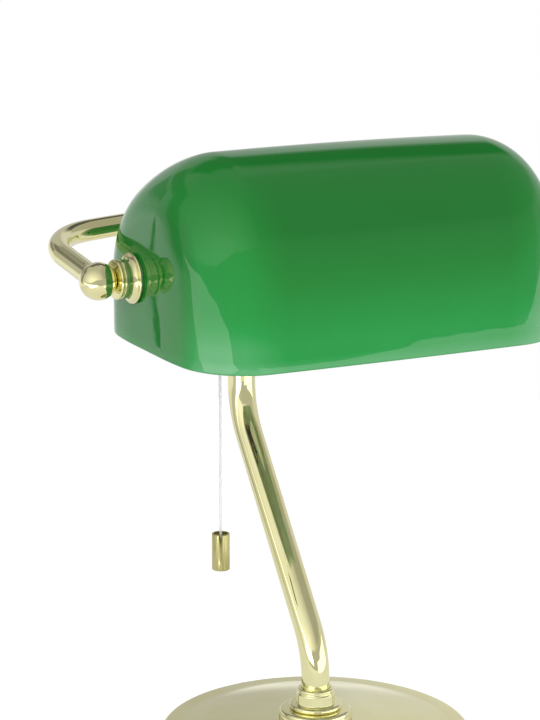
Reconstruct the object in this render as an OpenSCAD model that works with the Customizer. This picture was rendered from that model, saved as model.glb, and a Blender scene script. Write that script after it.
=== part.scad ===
// Banker's desk lamp: a cased glass shade that tilts between the two ball ends of a brass yoke,
// on a leaning stem and a weighted round base, with a pull switch in its lampholder.
// Frame: origin at the centre of the base's underside, +Z up, the lamp's front faces -Y.

/* [Layout] */
// Height of the shade's pivot axis above the table
pivot_height = 285; // [270:1:310]
// Distance of the pivot axis in front of the base's centre
pivot_forward = 4; // [0:1:12]

/* [Glass shade] */
// Length of the glass along the pivot axis
glass_length = 225; // [210:1:245]
// Depth of the glass from its back wall to its front wall
glass_depth = 142; // [138:1:152]
// Wall thickness of the glass
glass_wall = 4; // [3:0.5:5]
// Distance from the pivot axis back to the outside of the back wall
glass_back = 57; // [54:0.5:60]
// Height of the glass above the pivot axis
glass_top = 68; // [64:1:74]
// Depth of the rim below the pivot axis
rim_drop = 36.5; // [34:0.5:42]
// Slope of the rim in degrees, lower at the front
rim_slope = 2; // [0:0.5:4]
// Radius of the shoulder above the back wall
shoulder_radius = 60; // [56:1:64]
// Angle in degrees at which the shoulder runs into the crown
shoulder_angle = 60; // [54:1:64]
// Radius of the gently curved crown
crown_radius = 150; // [130:1:165]
// Angle in degrees at which the crown runs into the front
crown_angle = 78; // [72:1:82]
// Radius of the rounded edges round both end faces
corner_radius = 36; // [28:0.5:40]
// Radius of the slightly domed end faces
end_dome_radius = 200; // [160:5:300]
// How far the long faces fall from the middle to the rounded edges
barrel_sag = 0.8; // [0.4:0.1:1.6]

/* [Pivot hardware] */
// Diameter of the threaded nipples that carry the glass
nipple_d = 10; // [9:0.5:10.5]
// Bore of the threaded nipples
nipple_bore = 7; // [5:0.5:7.5]
// Diameter of the holes in the glass
glass_hole_d = 13; // [12.5:0.5:15]
// Diameter of the flanges on the glass
flange_d = 27; // [25:0.5:32]
// Thickness of the flanges, with the flare up to the collar
flange_t = 4.6; // [4:0.1:6]
// Thickness of the friction washers
washer_t = 0.6; // [0.4:0.1:1.2]
// Length of the turned collars
collar_length = 6.4; // [5:0.2:8.4]
// Diameter of the bead round the collars
collar_d = 21.2; // [20.4:0.1:24]
// Diameter of the balls
ball_d = 20; // [18:0.5:23]
// Thickness of the soft washers inside the glass
seal_t = 1; // [0.8:0.1:1.6]
// Width across the flats of the locknuts
locknut_af = 16; // [14:0.5:19]
// Thickness of the locknuts
locknut_t = 4; // [3:0.5:5]

/* [Yoke] */
// Outside diameter of the yoke's tube
yoke_d = 12; // [11:0.5:13]
// Wall of the yoke's tube
yoke_wall = 1.2; // [0.8:0.1:1.8]
// Distance from the pivot axis to the middle of the crossbar
yoke_reach = 94.5; // [90:0.5:104]
// Rise of the yoke towards the back, in degrees
yoke_tilt = 9; // [4:0.1:12]
// Radius of the yoke's two corners
yoke_corner = 41; // [30:1:46]
// Radius of the crossbar's bow
yoke_bow = 420; // [380:10:1200]
// Diameter of the tee on the crossbar
tee_d = 18; // [16:0.5:20]
// Length of the tee on the crossbar
tee_length = 30; // [24:1:44]
// Diameter of the tee's socket for the stem
socket_d = 21; // [20:0.5:24]
// Depth of the tee's socket
socket_depth = 12; // [8:0.5:16]

/* [Stem] */
// Outside diameter of the stem's tube
stem_d = 16; // [14:0.5:17]
// Wall of the stem's tube
stem_wall = 1.2; // [0.8:0.1:2]
// Radius of the stem's two bends
stem_bend = 55; // [45:1:70]
// Straight length between the foot collar and the lower bend
stem_foot = 2.4; // [1:0.1:8]
// Drop from the pivot axis to the corner of the upper bend
bend_drop = 102; // [90:1:110]
// Height of the turned collar at the stem's foot
foot_collar_h = 12; // [9:0.5:13]
// Diameter of the turned collar at the stem's foot
foot_collar_d = 30; // [26:1:34]

/* [Base] */
// Diameter of the base
base_d = 176; // [160:1:200]
// Height of the base above its pad
base_height = 26; // [24:0.5:27]
// Height of the upright band round the base
band_height = 14; // [13:0.5:16]
// Radius of the band's upper edge
band_edge = 3; // [2:0.5:4]
// Width of the ledge between the band and the domed top
ledge_width = 11; // [8:1:16]
// Height of the domed top above the pad
dome_height = 22; // [20:0.5:23]
// Diameter of the flat boss under the stem's collar
boss_d = 40; // [36:1:50]
// Thickness of the brass sheet of the cover
cover_t = 1.2; // [0.8:0.1:1.6]
// Thickness of the felt pad
pad_t = 1.5; // [1:0.1:3]
// Bore of the mains cord's grommet
cable_bore = 6.2; // [5:0.1:7]

/* [Lampholder and pull] */
// Outside diameter of the lampholder
holder_d = 38; // [36:0.5:42]
// Length of the lampholder's domed cap
cap_length = 14.5; // [12:0.5:18]
// Length of the switch section
switch_length = 36; // [34:0.5:40]
// Length of the skirt round the screw shell
skirt_length = 26; // [24:0.5:28]
// Distance from the middle of the glass to the pull cord
pull_x = 62; // [60:0.5:66]
// Diameter of the pull cord
cord_d = 1.5; // [1.2:0.1:1.8]
// Diameter of the brass pull
pull_d = 9.8; // [9:0.1:12]
// Length of the brass pull
pull_length = 20.5; // [16:0.5:26]
// Drop from the pivot axis to the top of the brass pull
pull_drop = 145.5; // [140:0.5:148]
// Travel of the pull
pull_travel = 8; // [5:0.5:8]

/* [Bulb] */
// Diameter of the bulb's globe
bulb_d = 60; // [50:1:62]
// Length of the bulb's glass beyond its cap
bulb_length = 78; // [70:1:80]
// Diameter of the bulb's screw cap
screw_d = 26; // [25.6:0.1:26.4]
// Length of the bulb's screw cap
screw_length = 22; // [20:0.5:23]

/* [Hidden] */
$fn = 96;
// clearances: pieces fixed to each other, running bush on its nipple, and faces that turn past each other
fit = 0.05;
run = 0.06;
turn_gap = 0.1;
dome_gap = 0.35;
// tubes: how far a straight rod reaches into a bend, and how much fuller the bend is
lap = 0.2;
swell = 0.1;

// glass: the outline is three tangent arcs between two upright walls, given as [y, z] from the pivot
front_radius = (glass_depth - shoulder_radius + (shoulder_radius - crown_radius) * cos(shoulder_angle)
                + crown_radius * cos(crown_angle)) / (1 + cos(crown_angle));
crown_drop = (shoulder_radius - crown_radius) * sin(shoulder_angle)
             + (crown_radius - front_radius) * sin(crown_angle);
shoulder_c = [glass_back - shoulder_radius, glass_top - front_radius - crown_drop];
crown_c = shoulder_c + (shoulder_radius - crown_radius) * [cos(shoulder_angle), sin(shoulder_angle)];
front_c = crown_c + (crown_radius - front_radius) * [cos(crown_angle), sin(crown_angle)];
// glass: along its length the outer face is a long arc, a rounded edge and a slightly domed end,
// given by the inset from the outline and the distance from the middle
flat_inset = min(shoulder_radius, front_radius) - 2;
edge_inset = corner_radius + barrel_sag;
dome_angle = asin((flat_inset - edge_inset) / (end_dome_radius - corner_radius));
dome_x = glass_length / 2 - end_dome_radius;
edge_x = dome_x + (end_dome_radius - corner_radius) * cos(dome_angle);
barrel_radius = corner_radius + barrel_sag / 2 + edge_x * edge_x / (2 * barrel_sag);
barrel_angle = asin(edge_x / (barrel_radius - corner_radius));

// collar's drum, and the hollow curve in which the flange flares up to it
drum_r = collar_d / 2 - 0.3;
flare_r = flange_t - 1.8;

// stack of pieces along the pivot axis, as distances from the middle of the glass
end_x = glass_length / 2;
flange_x = end_x + turn_gap + washer_t;
collar_x = flange_x + flange_t;
ball_flat = sqrt(pow(ball_d / 2, 2) - pow(nipple_d / 2, 2));
ball_x = collar_x + collar_length + ball_flat;
seal_x = end_x - glass_wall - dome_gap;
locknut_x = seal_x - seal_t;
holder_x = locknut_x - locknut_t - 0.6;

// yoke, in its own tilted plane
bow_angle = asin((ball_x - yoke_corner) / (yoke_bow - yoke_corner));
arm_length = yoke_reach - yoke_bow + (yoke_bow - yoke_corner) * cos(bow_angle);
arm_seat = nipple_d / 2 + 0.6;

// stem, in the lamp's middle plane
pivot = [0, -pivot_forward, pivot_height];
tee = pivot + yoke_reach * [0, cos(yoke_tilt), sin(yoke_tilt)];
base_top = pad_t + base_height;
lower_bend_z = base_top + foot_collar_h + stem_foot;
// the lean that joins the two bends, from the height between the lower bend's start and the upper corner
stem_rise = pivot_height - bend_drop - lower_bend_z;
stem_lean = 2 * atan(tee[1] / (stem_rise + sqrt(stem_rise * stem_rise + tee[1] * (tee[1] - 2 * stem_bend))));
bend_tangent = stem_bend * tan(stem_lean / 2);
upper_bend_z = pivot_height - bend_drop + bend_tangent;
stem_top = tee[2] - yoke_d / 2 - 3;

// base
base_r = base_d / 2;
dome_r = base_r - ledge_width;
dome_rise = dome_height - band_height;
dome_sphere = (dome_r * dome_r + dome_rise * dome_rise) / (2 * dome_rise);
cable_z = 7;
pocket_d = 34;
pocket_h = 8;
base_washer_t = 1.5;
base_nut_h = 5;

// lampholder, as distances inwards from its cap's back
holder_r = holder_d / 2;
switch_z = cap_length;
skirt_z = switch_z + switch_length;
sleeve_d = 28.6;
sleeve_t = 0.6;
insulator_t = 3.5;
sleeve_z = skirt_z + 1;
screw_z = sleeve_z + 2.4;
stop_d = 4;
cord_bush_h = 11;
// the stop rests high enough above the bush for the whole travel, and the knot hangs under the pull's web
pull_recess = 3;
pull_web = 8;
stop_z = 4 + pull_travel - holder_r;
knot_z = -pull_drop - pull_recess - pull_web;
// cord route, as offsets from the point where the pull's axis meets the pivot axis
cord_route = [[0, 0, stop_z], [0, 0, -40], [0, 0, -75], [0, 0, -110], [0, 0, knot_z]];
cord_ring_step = 4;
knot_d = 5;

brass = "#d9c77a";
satin_brass = "#b9a85f";
green_glass = "#2f9648";

// ---- shared shapes ----

// a round ring or disc on the local Z axis, from height z to z + h
module ring(d, hole, z, h) {
    translate([0, 0, z]) difference() {
        cylinder(d = d, h = h);
        translate([0, 0, -1]) cylinder(d = hole, h = h + 2);
    }
}

// a straight rod on the local Z axis, lengthened at its two ends
module rod(d, length, before, after) {
    translate([0, 0, -before]) cylinder(d = d, h = length + before + after);
}

// a bend in a rod that runs along local Z, towards local Y (side 1) or away from it (side -1);
// it is a hair fuller than a straight rod, so that the rods' ends lie cleanly inside it
module rod_bend(d, radius, angle, side = 1) {
    translate([0, side * radius, 0]) rotate([90, 0, 90])
        rotate_extrude(start = side > 0 ? 180 - angle : 0, angle = angle)
            translate([radius, 0]) circle(d = d + swell);
}

// places its children past such a bend, with the rod again along their local Z
module past_bend(radius, angle, side = 1) {
    translate([0, side * radius, 0]) rotate([-side * angle, 0, 0]) translate([0, -side * radius, 0]) children();
}

// places its children on the pivot axis with local Z pointing outwards on the given side
module outwards(side) {
    translate(pivot) rotate([0, 90 * side, 0]) children();
}

// places its children on the pivot axis with local Z pointing from the holder's cap into the shade
module holder_axis() {
    translate(pivot + [-holder_x, 0, 0]) rotate([0, 90, 0]) children();
}

// places its children on the pull cord's axis, at the height of the pivot axis
module pull_axis() {
    translate(pivot + [-pull_x, 0, 0]) children();
}

// ---- base ----

// outline of the base's outside in the half-plane [radius, height], moved inwards by inset
module base_outline(inset) {
    intersection() {
        union() {
            square([base_r - inset, band_height - band_edge]);
            square([base_r - band_edge, band_height - inset]);
            translate([base_r - band_edge, band_height - band_edge]) circle(r = band_edge - inset);
            intersection() {
                translate([0, dome_height - dome_sphere]) circle(r = dome_sphere - inset);
                square([dome_r - inset, dome_height]);
            }
            square([boss_d / 2 - inset, base_height - inset]);
        }
        square([base_r, base_height]);
    }
}

module base_pad() {
    color("#2b4a33") cylinder(r = base_r - 2, h = pad_t);
}

module base_weight() {
    color("#4b4d50") translate([0, 0, pad_t]) difference() {
        union() {
            cylinder(r = base_r - cover_t - 2, h = band_height - band_edge - cover_t);
            cylinder(r = dome_r - cover_t - 10, h = band_height);
            cylinder(d = boss_d - 2 * cover_t - 2, h = base_height - cover_t - fit);
        }
        translate([0, 0, -1]) cylinder(d = nipple_d + 2 * fit, h = base_height + 2);
        translate([0, 0, -1]) cylinder(d = pocket_d, h = pocket_h + 1);
        translate([-4, 0, -1]) cube([8, base_r, cable_z + 4]);
    }
}

module base_cover() {
    color(brass) translate([0, 0, pad_t]) difference() {
        rotate_extrude() difference() {
            base_outline(0);
            union() {
                base_outline(cover_t);
                translate([0, -1]) square([base_r - cover_t, 2]);
            }
        }
        translate([0, 0, base_height - 3]) cylinder(d = nipple_d + 2 * fit, h = 6);
        translate([0, base_r + 2, cable_z]) rotate([90, 0, 0]) cylinder(d = cable_bore + 2.4, h = 10);
    }
}

// grommet in the back of the base, open for the mains cord
module cable_bush() {
    color("#1c1c1c") translate([0, base_r, pad_t + cable_z]) rotate([90, 0, 0]) difference() {
        union() {
            translate([0, 0, -2]) cylinder(d = cable_bore + 5, h = 1.8);
            translate([0, 0, -1]) cylinder(d = cable_bore + 2.4 - 2 * fit, h = 3.6);
            translate([0, 0, cover_t + 0.3]) cylinder(d = cable_bore + 3, h = 1.4);
        }
        translate([0, 0, -3]) cylinder(d = cable_bore, h = 8);
    }
}

module base_washer() {
    color("silver") ring(pocket_d - 8, nipple_d + 2 * fit, pad_t + pocket_h - base_washer_t - fit, base_washer_t);
}

module base_nut() {
    color("silver") translate([0, 0, pad_t + pocket_h - base_washer_t - base_nut_h - 2 * fit]) difference() {
        cylinder(d = 18, h = base_nut_h, $fn = 6);
        translate([0, 0, -1]) cylinder(d = nipple_d + 2 * fit, h = base_nut_h + 2);
    }
}

// ---- stem ----

module stem_nipple() {
    color("silver") ring(nipple_d, nipple_bore, pad_t + 1, base_height + foot_collar_h - 2);
}

module stem_plug() {
    color(satin_brass) ring(stem_d - 2 * stem_wall - 2 * fit, nipple_d + 2 * fit, base_top + fit, foot_collar_h);
}

module stem_collar() {
    color(brass) translate([0, 0, base_top]) difference() {
        rotate_extrude() union() {
            square([foot_collar_d / 2 - 1, 3]);
            translate([foot_collar_d / 2 - 1.5, 1.5]) circle(r = 1.5);
            square([foot_collar_d / 2 - 4, foot_collar_h - 3]);
            square([stem_d / 2 + 1.4, foot_collar_h - 1.2]);
            translate([stem_d / 2 + 1, foot_collar_h - 1.2]) circle(r = 1.2);
            square([stem_d / 2 + 1, foot_collar_h]);
        }
        translate([0, 0, -1]) cylinder(d = stem_d + 2 * fit, h = foot_collar_h + 2);
    }
}

// the stem's route as a solid of the given diameter, lengthened at both open ends
module stem_path(d, over) {
    foot_run = lower_bend_z - base_top;
    lean_run = tee[1] / sin(stem_lean) - 2 * bend_tangent;
    translate([0, 0, base_top]) rod(d, foot_run, over, lap);
    translate([0, 0, lower_bend_z]) {
        rod_bend(d, stem_bend, stem_lean);
        past_bend(stem_bend, stem_lean) {
            rod(d, lean_run, lap, lap);
            translate([0, 0, lean_run]) {
                rod_bend(d, stem_bend, stem_lean, -1);
                past_bend(stem_bend, stem_lean, -1) rod(d, stem_top - upper_bend_z, lap, over);
            }
        }
    }
}

module stem_tube() {
    color(brass) difference() {
        stem_path(stem_d, 0);
        stem_path(stem_d - 2 * stem_wall, 1);
    }
}

// ---- yoke ----

// places its children in the yoke's tilted plane, with the pivot axis as local X
module yoke_plane() {
    translate(pivot) rotate([yoke_tilt, 0, 0]) children();
}

// the yoke's route as a solid of the given diameter, lengthened at both open ends
module yoke_path(d, over) {
    lap_angle = lap / yoke_bow * 180 / PI;
    translate([0, yoke_reach - yoke_bow, 0])
        rotate_extrude(start = 90 - bow_angle - lap_angle, angle = 2 * (bow_angle + lap_angle))
            translate([yoke_bow, 0]) circle(d = d);
    for (side = [0, 1]) mirror([side, 0, 0])
        translate([0, yoke_reach, 0]) rotate([180, -90, 0]) past_bend(yoke_bow, bow_angle) {
            rod_bend(d, yoke_corner, 90 - bow_angle);
            past_bend(yoke_corner, 90 - bow_angle) rod(d, arm_length - arm_seat, lap, over);
        }
}

module yoke_tube() {
    color(brass) yoke_plane() difference() {
        yoke_path(yoke_d, 0);
        yoke_path(yoke_d - 2 * yoke_wall, 1);
        translate([0, yoke_reach, -yoke_d]) cylinder(d = nipple_bore - 1, h = yoke_d);
    }
}

module yoke_tee() {
    color(brass) difference() {
        union() {
            translate(tee) rotate([0, 90, 0]) cylinder(d = tee_d, h = tee_length, center = true);
            translate([0, tee[1], stem_top - socket_depth])
                cylinder(d = socket_d, h = tee[2] - stem_top + socket_depth);
            translate(tee) sphere(d = socket_d);
        }
        yoke_plane() translate([0, yoke_reach - yoke_bow, 0])
            rotate_extrude(start = 87, angle = 6) translate([yoke_bow, 0]) circle(d = yoke_d + 2 * fit);
        translate([0, tee[1], stem_top - socket_depth - 1]) cylinder(d = stem_d + 2 * fit, h = socket_depth + 1 + fit);
        translate([0, tee[1], stem_top - 1]) cylinder(d = nipple_bore, h = tee[2] - stem_top);
    }
}

// ---- pivots ----

// turned ball with a flat that seats on its collar, and sockets for the nipple and the yoke's arm
module ball(side) {
    color(brass) difference() {
        outwards(side) rotate_extrude() difference() {
            intersection() {
                translate([0, ball_x]) circle(d = ball_d);
                translate([0, ball_x - ball_flat]) square(ball_d);
            }
            square([nipple_d / 2 + fit, ball_x - 1]);
            square([nipple_bore / 2, ball_x + 1]);
        }
        yoke_plane() translate([side * ball_x, arm_seat, 0]) rotate([-90, 0, 0])
            cylinder(d = yoke_d + 2 * fit, h = ball_d);
        yoke_plane() translate([side * ball_x, 0, 0]) rotate([-90, 0, 0])
            cylinder(d = yoke_d - 2 * yoke_wall - 2, h = ball_d);
    }
}

module collar(side) {
    color(brass) outwards(side) difference() {
        rotate_extrude() union() {
            translate([0, collar_x]) square([collar_d / 2 - 2.6, collar_length]);
            translate([0, collar_x]) square([drum_r, collar_length - 2.8]);
            translate([0, collar_x + collar_length - 2.9]) square([collar_d / 2 - 1, 2.7]);
            translate([collar_d / 2 - 1, collar_x + collar_length - 1.2]) circle(r = 1);
        }
        translate([0, 0, collar_x - 1]) cylinder(d = nipple_d + 2 * fit, h = collar_length + 2);
    }
}

module flange(side) {
    color(brass) outwards(side) difference() {
        rotate_extrude() union() {
            translate([flange_d / 2 - 0.8, flange_x + 1]) circle(r = 0.8);
            difference() {
                translate([0, flange_x]) square([flange_d / 2 - 0.8, flange_t]);
                translate([drum_r + flare_r, flange_x + flange_t]) circle(r = flare_r);
            }
        }
        translate([0, 0, flange_x - 1]) cylinder(d = nipple_d + 2 * fit, h = flange_t + 2);
    }
}

module friction_washer(side) {
    color("#e8e8e0") outwards(side) ring(flange_d - 3, nipple_d + 2 * fit, end_x + turn_gap, washer_t);
}

module nipple(side, inner_end) {
    color(satin_brass) outwards(side) ring(nipple_d, nipple_bore, inner_end, ball_x - 1.5 - inner_end);
}

module seal(side) {
    color("#2a2a2a") outwards(side) ring(glass_hole_d + 7, nipple_d + 2 * fit, locknut_x, seal_t);
}

module locknut(side) {
    color(satin_brass) outwards(side) translate([0, 0, locknut_x - locknut_t]) difference() {
        union() {
            cylinder(d = locknut_af / cos(30), h = locknut_t - 1, $fn = 6);
            translate([0, 0, locknut_t - 1.2]) cylinder(d = glass_hole_d + 7, h = 1.2 - fit);
        }
        translate([0, 0, -1]) cylinder(d = nipple_d + 2 * fit, h = locknut_t + 2);
    }
}

module glass_bush(side) {
    color("#efefe8") outwards(side)
        ring(glass_hole_d - 2 * fit, nipple_d + 2 * run, end_x - glass_wall, glass_wall);
}

// ---- glass ----

// points on an arc round centre, from angle a through angle b in n equal steps
function arc_points(centre, r, a, b, n) =
    [for (i = [0:n]) let (t = a + (b - a) * i / n) centre + r * [cos(t), sin(t)]];

// height of the sloping rim plane at the distance y from the pivot
function rim_z(y) = -rim_drop + y * tan(rim_slope);

// the glass's outline moved inwards by inset, from the back of the rim over the top to the front
function outline(inset) = concat(
    [[glass_back - inset, rim_z(glass_back - inset)]],
    arc_points(shoulder_c, shoulder_radius - inset, 0, shoulder_angle, 12),
    [for (i = [1:3]) arc_points(crown_c, crown_radius - inset, shoulder_angle, crown_angle, 4)[i]],
    arc_points(front_c, front_radius - inset, crown_angle, 180, 20),
    [[glass_back - glass_depth + inset, rim_z(glass_back - glass_depth + inset)]]);

// stations from the middle to one end as [inset, x], for the face that lies skin inside the outer one
function half_stations(skin) = concat(
    arc_points([barrel_radius, 0], barrel_radius - skin, 180, 180 - barrel_angle, 3),
    [for (i = [1:10]) arc_points([edge_inset, edge_x], corner_radius - skin, 180 - barrel_angle,
        90 + dome_angle, 10)[i]],
    [for (i = [1:3]) arc_points([flat_inset, dome_x], end_dome_radius - skin, 90 + dome_angle, 90, 3)[i]]);

function stations(skin) = let (half = half_stations(skin), n = len(half)) concat(
    [for (i = [n - 1:-1:1]) [half[i][0], -half[i][1]]], half);

// one closed shell: outer face, inner face and the flat rim between them
module glass_shell() {
    outer = stations(0);
    inner = stations(glass_wall);
    rows = len(outer);
    cols = len(outline(0));
    points = [for (face = [outer, inner]) for (s = face) for (p = outline(s[0])) [s[1], p[0], p[1]]];
    function at(layer, row, col) = (layer * rows + row) * cols + col;
    // the rim runs along the back, round the far end and back along the front
    rim = concat([for (r = [0:rows - 1]) [r, 0]], [for (r = [rows - 1:-1:0]) [r, cols - 1]]);
    sides = [for (r = [0:rows - 2]) for (c = [0:cols - 2])
        each [[at(0, r, c), at(0, r + 1, c), at(0, r + 1, c + 1)], [at(0, r, c), at(0, r + 1, c + 1), at(0, r, c + 1)]]];
    linings = [for (r = [0:rows - 2]) for (c = [0:cols - 2])
        each [[at(1, r, c), at(1, r + 1, c + 1), at(1, r + 1, c)], [at(1, r, c), at(1, r, c + 1), at(1, r + 1, c + 1)]]];
    ends = [
        [for (c = [0:cols - 1]) at(0, 0, c)], [for (c = [cols - 1:-1:0]) at(0, rows - 1, c)],
        [for (c = [cols - 1:-1:0]) at(1, 0, c)], [for (c = [0:cols - 1]) at(1, rows - 1, c)]];
    lips = [for (i = [0:len(rim) - 1]) let (a = rim[i], b = rim[(i + 1) % len(rim)])
        [at(0, b[0], b[1]), at(0, a[0], a[1]), at(1, a[0], a[1]), at(1, b[0], b[1])]];
    polyhedron(points, concat(sides, linings, ends, lips), convexity = 6);
}

module shade_glass() {
    color(green_glass) translate(pivot) difference() {
        glass_shell();
        for (side = [-1, 1])
            rotate([0, 90 * side, 0]) translate([0, 0, end_x - glass_wall - 5])
                cylinder(d = glass_hole_d, h = glass_wall + 10);
    }
}

// ---- lampholder ----

module holder_cap() {
    color("#1d1d1d") holder_axis() difference() {
        rotate_extrude() intersection() {
            union() {
                square([holder_r - 10, 6]);
                translate([holder_r - 12, 12]) circle(r = 12);
                translate([0, 12]) square([holder_r, cap_length - 12]);
                square([holder_r - 12, cap_length]);
            }
            square([holder_r, cap_length]);
        }
        rotate_extrude() intersection() {
            union() {
                translate([holder_r - 12, 12]) circle(r = 10);
                translate([0, 12]) square([holder_r - 2, cap_length]);
                translate([0, 6]) square([holder_r - 12, cap_length]);
            }
            translate([0, 4]) square([holder_r, cap_length]);
        }
        translate([0, 0, -1]) cylinder(d = nipple_d + 2 * fit, h = 8);
    }
}

module switch_housing() {
    color("#1d1d1d") difference() {
        holder_axis() translate([0, 0, switch_z + fit]) difference() {
            cylinder(d = holder_d, h = switch_length - 2 * fit);
            translate([0, 0, switch_length - insulator_t - fit]) cylinder(d = sleeve_d + 2 * fit, h = 10);
        }
        pull_axis() translate([0, 0, -holder_r - 2]) cylinder(d = 9 + 2 * fit, h = 6);
        pull_axis() translate([0, 0, -holder_r]) cylinder(d = 6, h = holder_r - 2);
    }
}

module holder_skirt() {
    color("#1d1d1d") holder_axis() difference() {
        rotate_extrude() difference() {
            polygon([[0, skirt_z], [holder_r, skirt_z], [holder_r, skirt_z + 5], [holder_r - 1.2, skirt_z + 6.5],
                [holder_r - 1.8, skirt_z + skirt_length], [0, skirt_z + skirt_length]]);
            square([sleeve_d / 2 + fit, skirt_z + skirt_length + 1]);
        }
    }
}

module holder_sleeve() {
    color(satin_brass) holder_axis() ring(sleeve_d, sleeve_d - 2 * sleeve_t, sleeve_z, skirt_length - 4);
}

module holder_insulator() {
    color("#f1ede2") holder_axis() translate([0, 0, skirt_z - insulator_t]) difference() {
        cylinder(d = sleeve_d, h = insulator_t + 1 - fit);
        translate([0, 0, insulator_t - 0.6]) cylinder(d = 9, h = 10);
    }
}

module centre_contact() {
    color(satin_brass) holder_axis() translate([0, 0, skirt_z - 0.6 + fit]) union() {
        cylinder(d = 8, h = 0.8);
        cylinder(d = 5, h = 2.6);
    }
}

module cord_bush() {
    color(brass) pull_axis() translate([0, 0, -holder_r + 3]) rotate([180, 0, 0]) difference() {
        rotate_extrude() union() {
            square([4.5, 3]);
            translate([0, 2.9]) square([3.4, cord_bush_h - 4.4]);
            translate([0, cord_bush_h - 2.5]) square([2.6, 2.5]);
            translate([2.6, cord_bush_h - 1.8]) circle(r = 1);
        }
        translate([0, 0, -1]) cylinder(d = cord_d + 1, h = cord_bush_h + 2);
    }
}

// ---- pull ----

function lerp(a, b, t) = a + (b - a) * t;

// the cord is an eight-sided tube along its route, with a ring about every cord_ring_step
module pull_cord() {
    sides = 8;
    centres = [for (i = [0:len(cord_route) - 2])
        let (a = cord_route[i], b = cord_route[i + 1], n = ceil(norm(b - a) / cord_ring_step))
        for (k = [(i == 0 ? 0 : 1):n]) lerp(a, b, k / n)];
    rings = len(centres);
    points = [for (c = centres) for (s = [0:sides - 1])
        c + cord_d / 2 * [cos(360 * s / sides), sin(360 * s / sides), 0]];
    walls = [for (r = [0:rings - 2]) for (s = [0:sides - 1]) let (t = (s + 1) % sides)
        [r * sides + s, r * sides + t, (r + 1) * sides + t, (r + 1) * sides + s]];
    caps = [[for (s = [sides - 1:-1:0]) s], [for (s = [0:sides - 1]) (rings - 1) * sides + s]];
    color("#f2f0ea") pull_axis() polyhedron(points, concat(walls, caps));
}

module cord_stop() {
    color("silver") pull_axis() translate([0, 0, stop_z + fit]) cylinder(d = stop_d, h = 3);
}

module pull_weight() {
    color(satin_brass) pull_axis() translate([0, 0, -pull_drop - pull_length]) difference() {
        rotate_extrude() polygon([[0, 0], [pull_d / 2 - 0.4, 0], [pull_d / 2, 0.4],
            [pull_d / 2, pull_length - 0.4], [pull_d / 2 - 0.4, pull_length], [0, pull_length]]);
        translate([0, 0, pull_length - pull_recess]) cylinder(d = pull_d - 2.4, h = 5);
        translate([0, 0, -1]) cylinder(d = pull_d - 3, h = pull_length - pull_recess - pull_web + 1);
        translate([0, 0, 1]) cylinder(d = cord_d + 0.6, h = pull_length - 2);
        rotate([0, 0, -120]) translate([3, -0.8, pull_length - 2]) cube([pull_d, 1.6, 5]);
    }
}

module pull_knot() {
    color("#f2f0ea") pull_axis() translate([0, 0, knot_z - knot_d / 2 - fit])
        sphere(d = knot_d);
}

// ---- bulb ----

// outline of the bulb's glass as [radius, distance from the cap], moved inwards by inset
module bulb_outline(inset) {
    globe_r = bulb_d / 2 - inset;
    globe_z = bulb_length - bulb_d / 2;
    neck_r = screw_d / 2 - 0.4 - inset;
    reach = norm([neck_r, globe_z]);
    tangent = atan2(-globe_z, neck_r) + acos(globe_r / reach);
    intersection() {
        union() {
            translate([0, globe_z]) circle(r = globe_r);
            polygon([[0, 0], [neck_r, 0], [globe_r * cos(tangent), globe_z + globe_r * sin(tangent)], [0, globe_z]]);
        }
        square([bulb_d, bulb_length + 1]);
    }
}

module bulb_glass() {
    color("#fbfaf2") holder_axis() translate([0, 0, screw_z + screw_length]) rotate_extrude() difference() {
        bulb_outline(0);
        bulb_outline(1);
    }
}

module bulb_cap() {
    color("silver") holder_axis() translate([0, 0, screw_z]) difference() {
        rotate_extrude() polygon([[0, 1.5], [6.5, 1.5], [screw_d / 2 - 2.4, 4.5], [screw_d / 2, 5.5],
            [screw_d / 2, screw_length - fit], [0, screw_length - fit]]);
        translate([0, 0, 6]) cylinder(d = screw_d - 1.2, h = screw_length);
        translate([0, 0, 1]) cylinder(d = 9, h = 8);
    }
}

module bulb_insulator() {
    color("#151515") holder_axis() translate([0, 0, screw_z]) difference() {
        rotate_extrude() polygon([[0, 0.7], [3.4, 0.7], [4.4, 1.6], [4.4, 5.8], [0, 5.8]]);
        cylinder(d = 3, h = 14, center = true);
    }
}

module bulb_contact() {
    color("silver") holder_axis() translate([0, 0, screw_z]) union() {
        cylinder(d = 2.9, h = 5);
        translate([0, 0, 0.1]) cylinder(d = 6, h = 0.55);
    }
}

// ---- one module per mirrored piece ----

module left_ball() { ball(-1); }
module right_ball() { ball(1); }
module left_collar() { collar(-1); }
module right_collar() { collar(1); }
module left_flange() { flange(-1); }
module right_flange() { flange(1); }
module left_washer() { friction_washer(-1); }
module right_washer() { friction_washer(1); }
module left_nipple() { nipple(-1, holder_x - 5.5); }
module right_nipple() { nipple(1, locknut_x - locknut_t - 1.5); }
module left_seal() { seal(-1); }
module right_seal() { seal(1); }
module left_locknut() { locknut(-1); }
module right_locknut() { locknut(1); }
module left_bush() { glass_bush(-1); }
module right_bush() { glass_bush(1); }

base_pad();
base_weight();
base_cover();
cable_bush();
base_washer();
base_nut();
stem_nipple();
stem_plug();
stem_collar();
stem_tube();
yoke_tee();
yoke_tube();
left_ball();
right_ball();
left_collar();
right_collar();
left_flange();
right_flange();
left_washer();
right_washer();
left_nipple();
right_nipple();
left_seal();
right_seal();
left_locknut();
right_locknut();
holder_cap();
switch_housing();
holder_skirt();
holder_sleeve();
holder_insulator();
centre_contact();
cord_bush();
shade_glass();
left_bush();
right_bush();
pull_cord();
cord_stop();
pull_knot();
pull_weight();
bulb_glass();
bulb_cap();
bulb_insulator();
bulb_contact();
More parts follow.
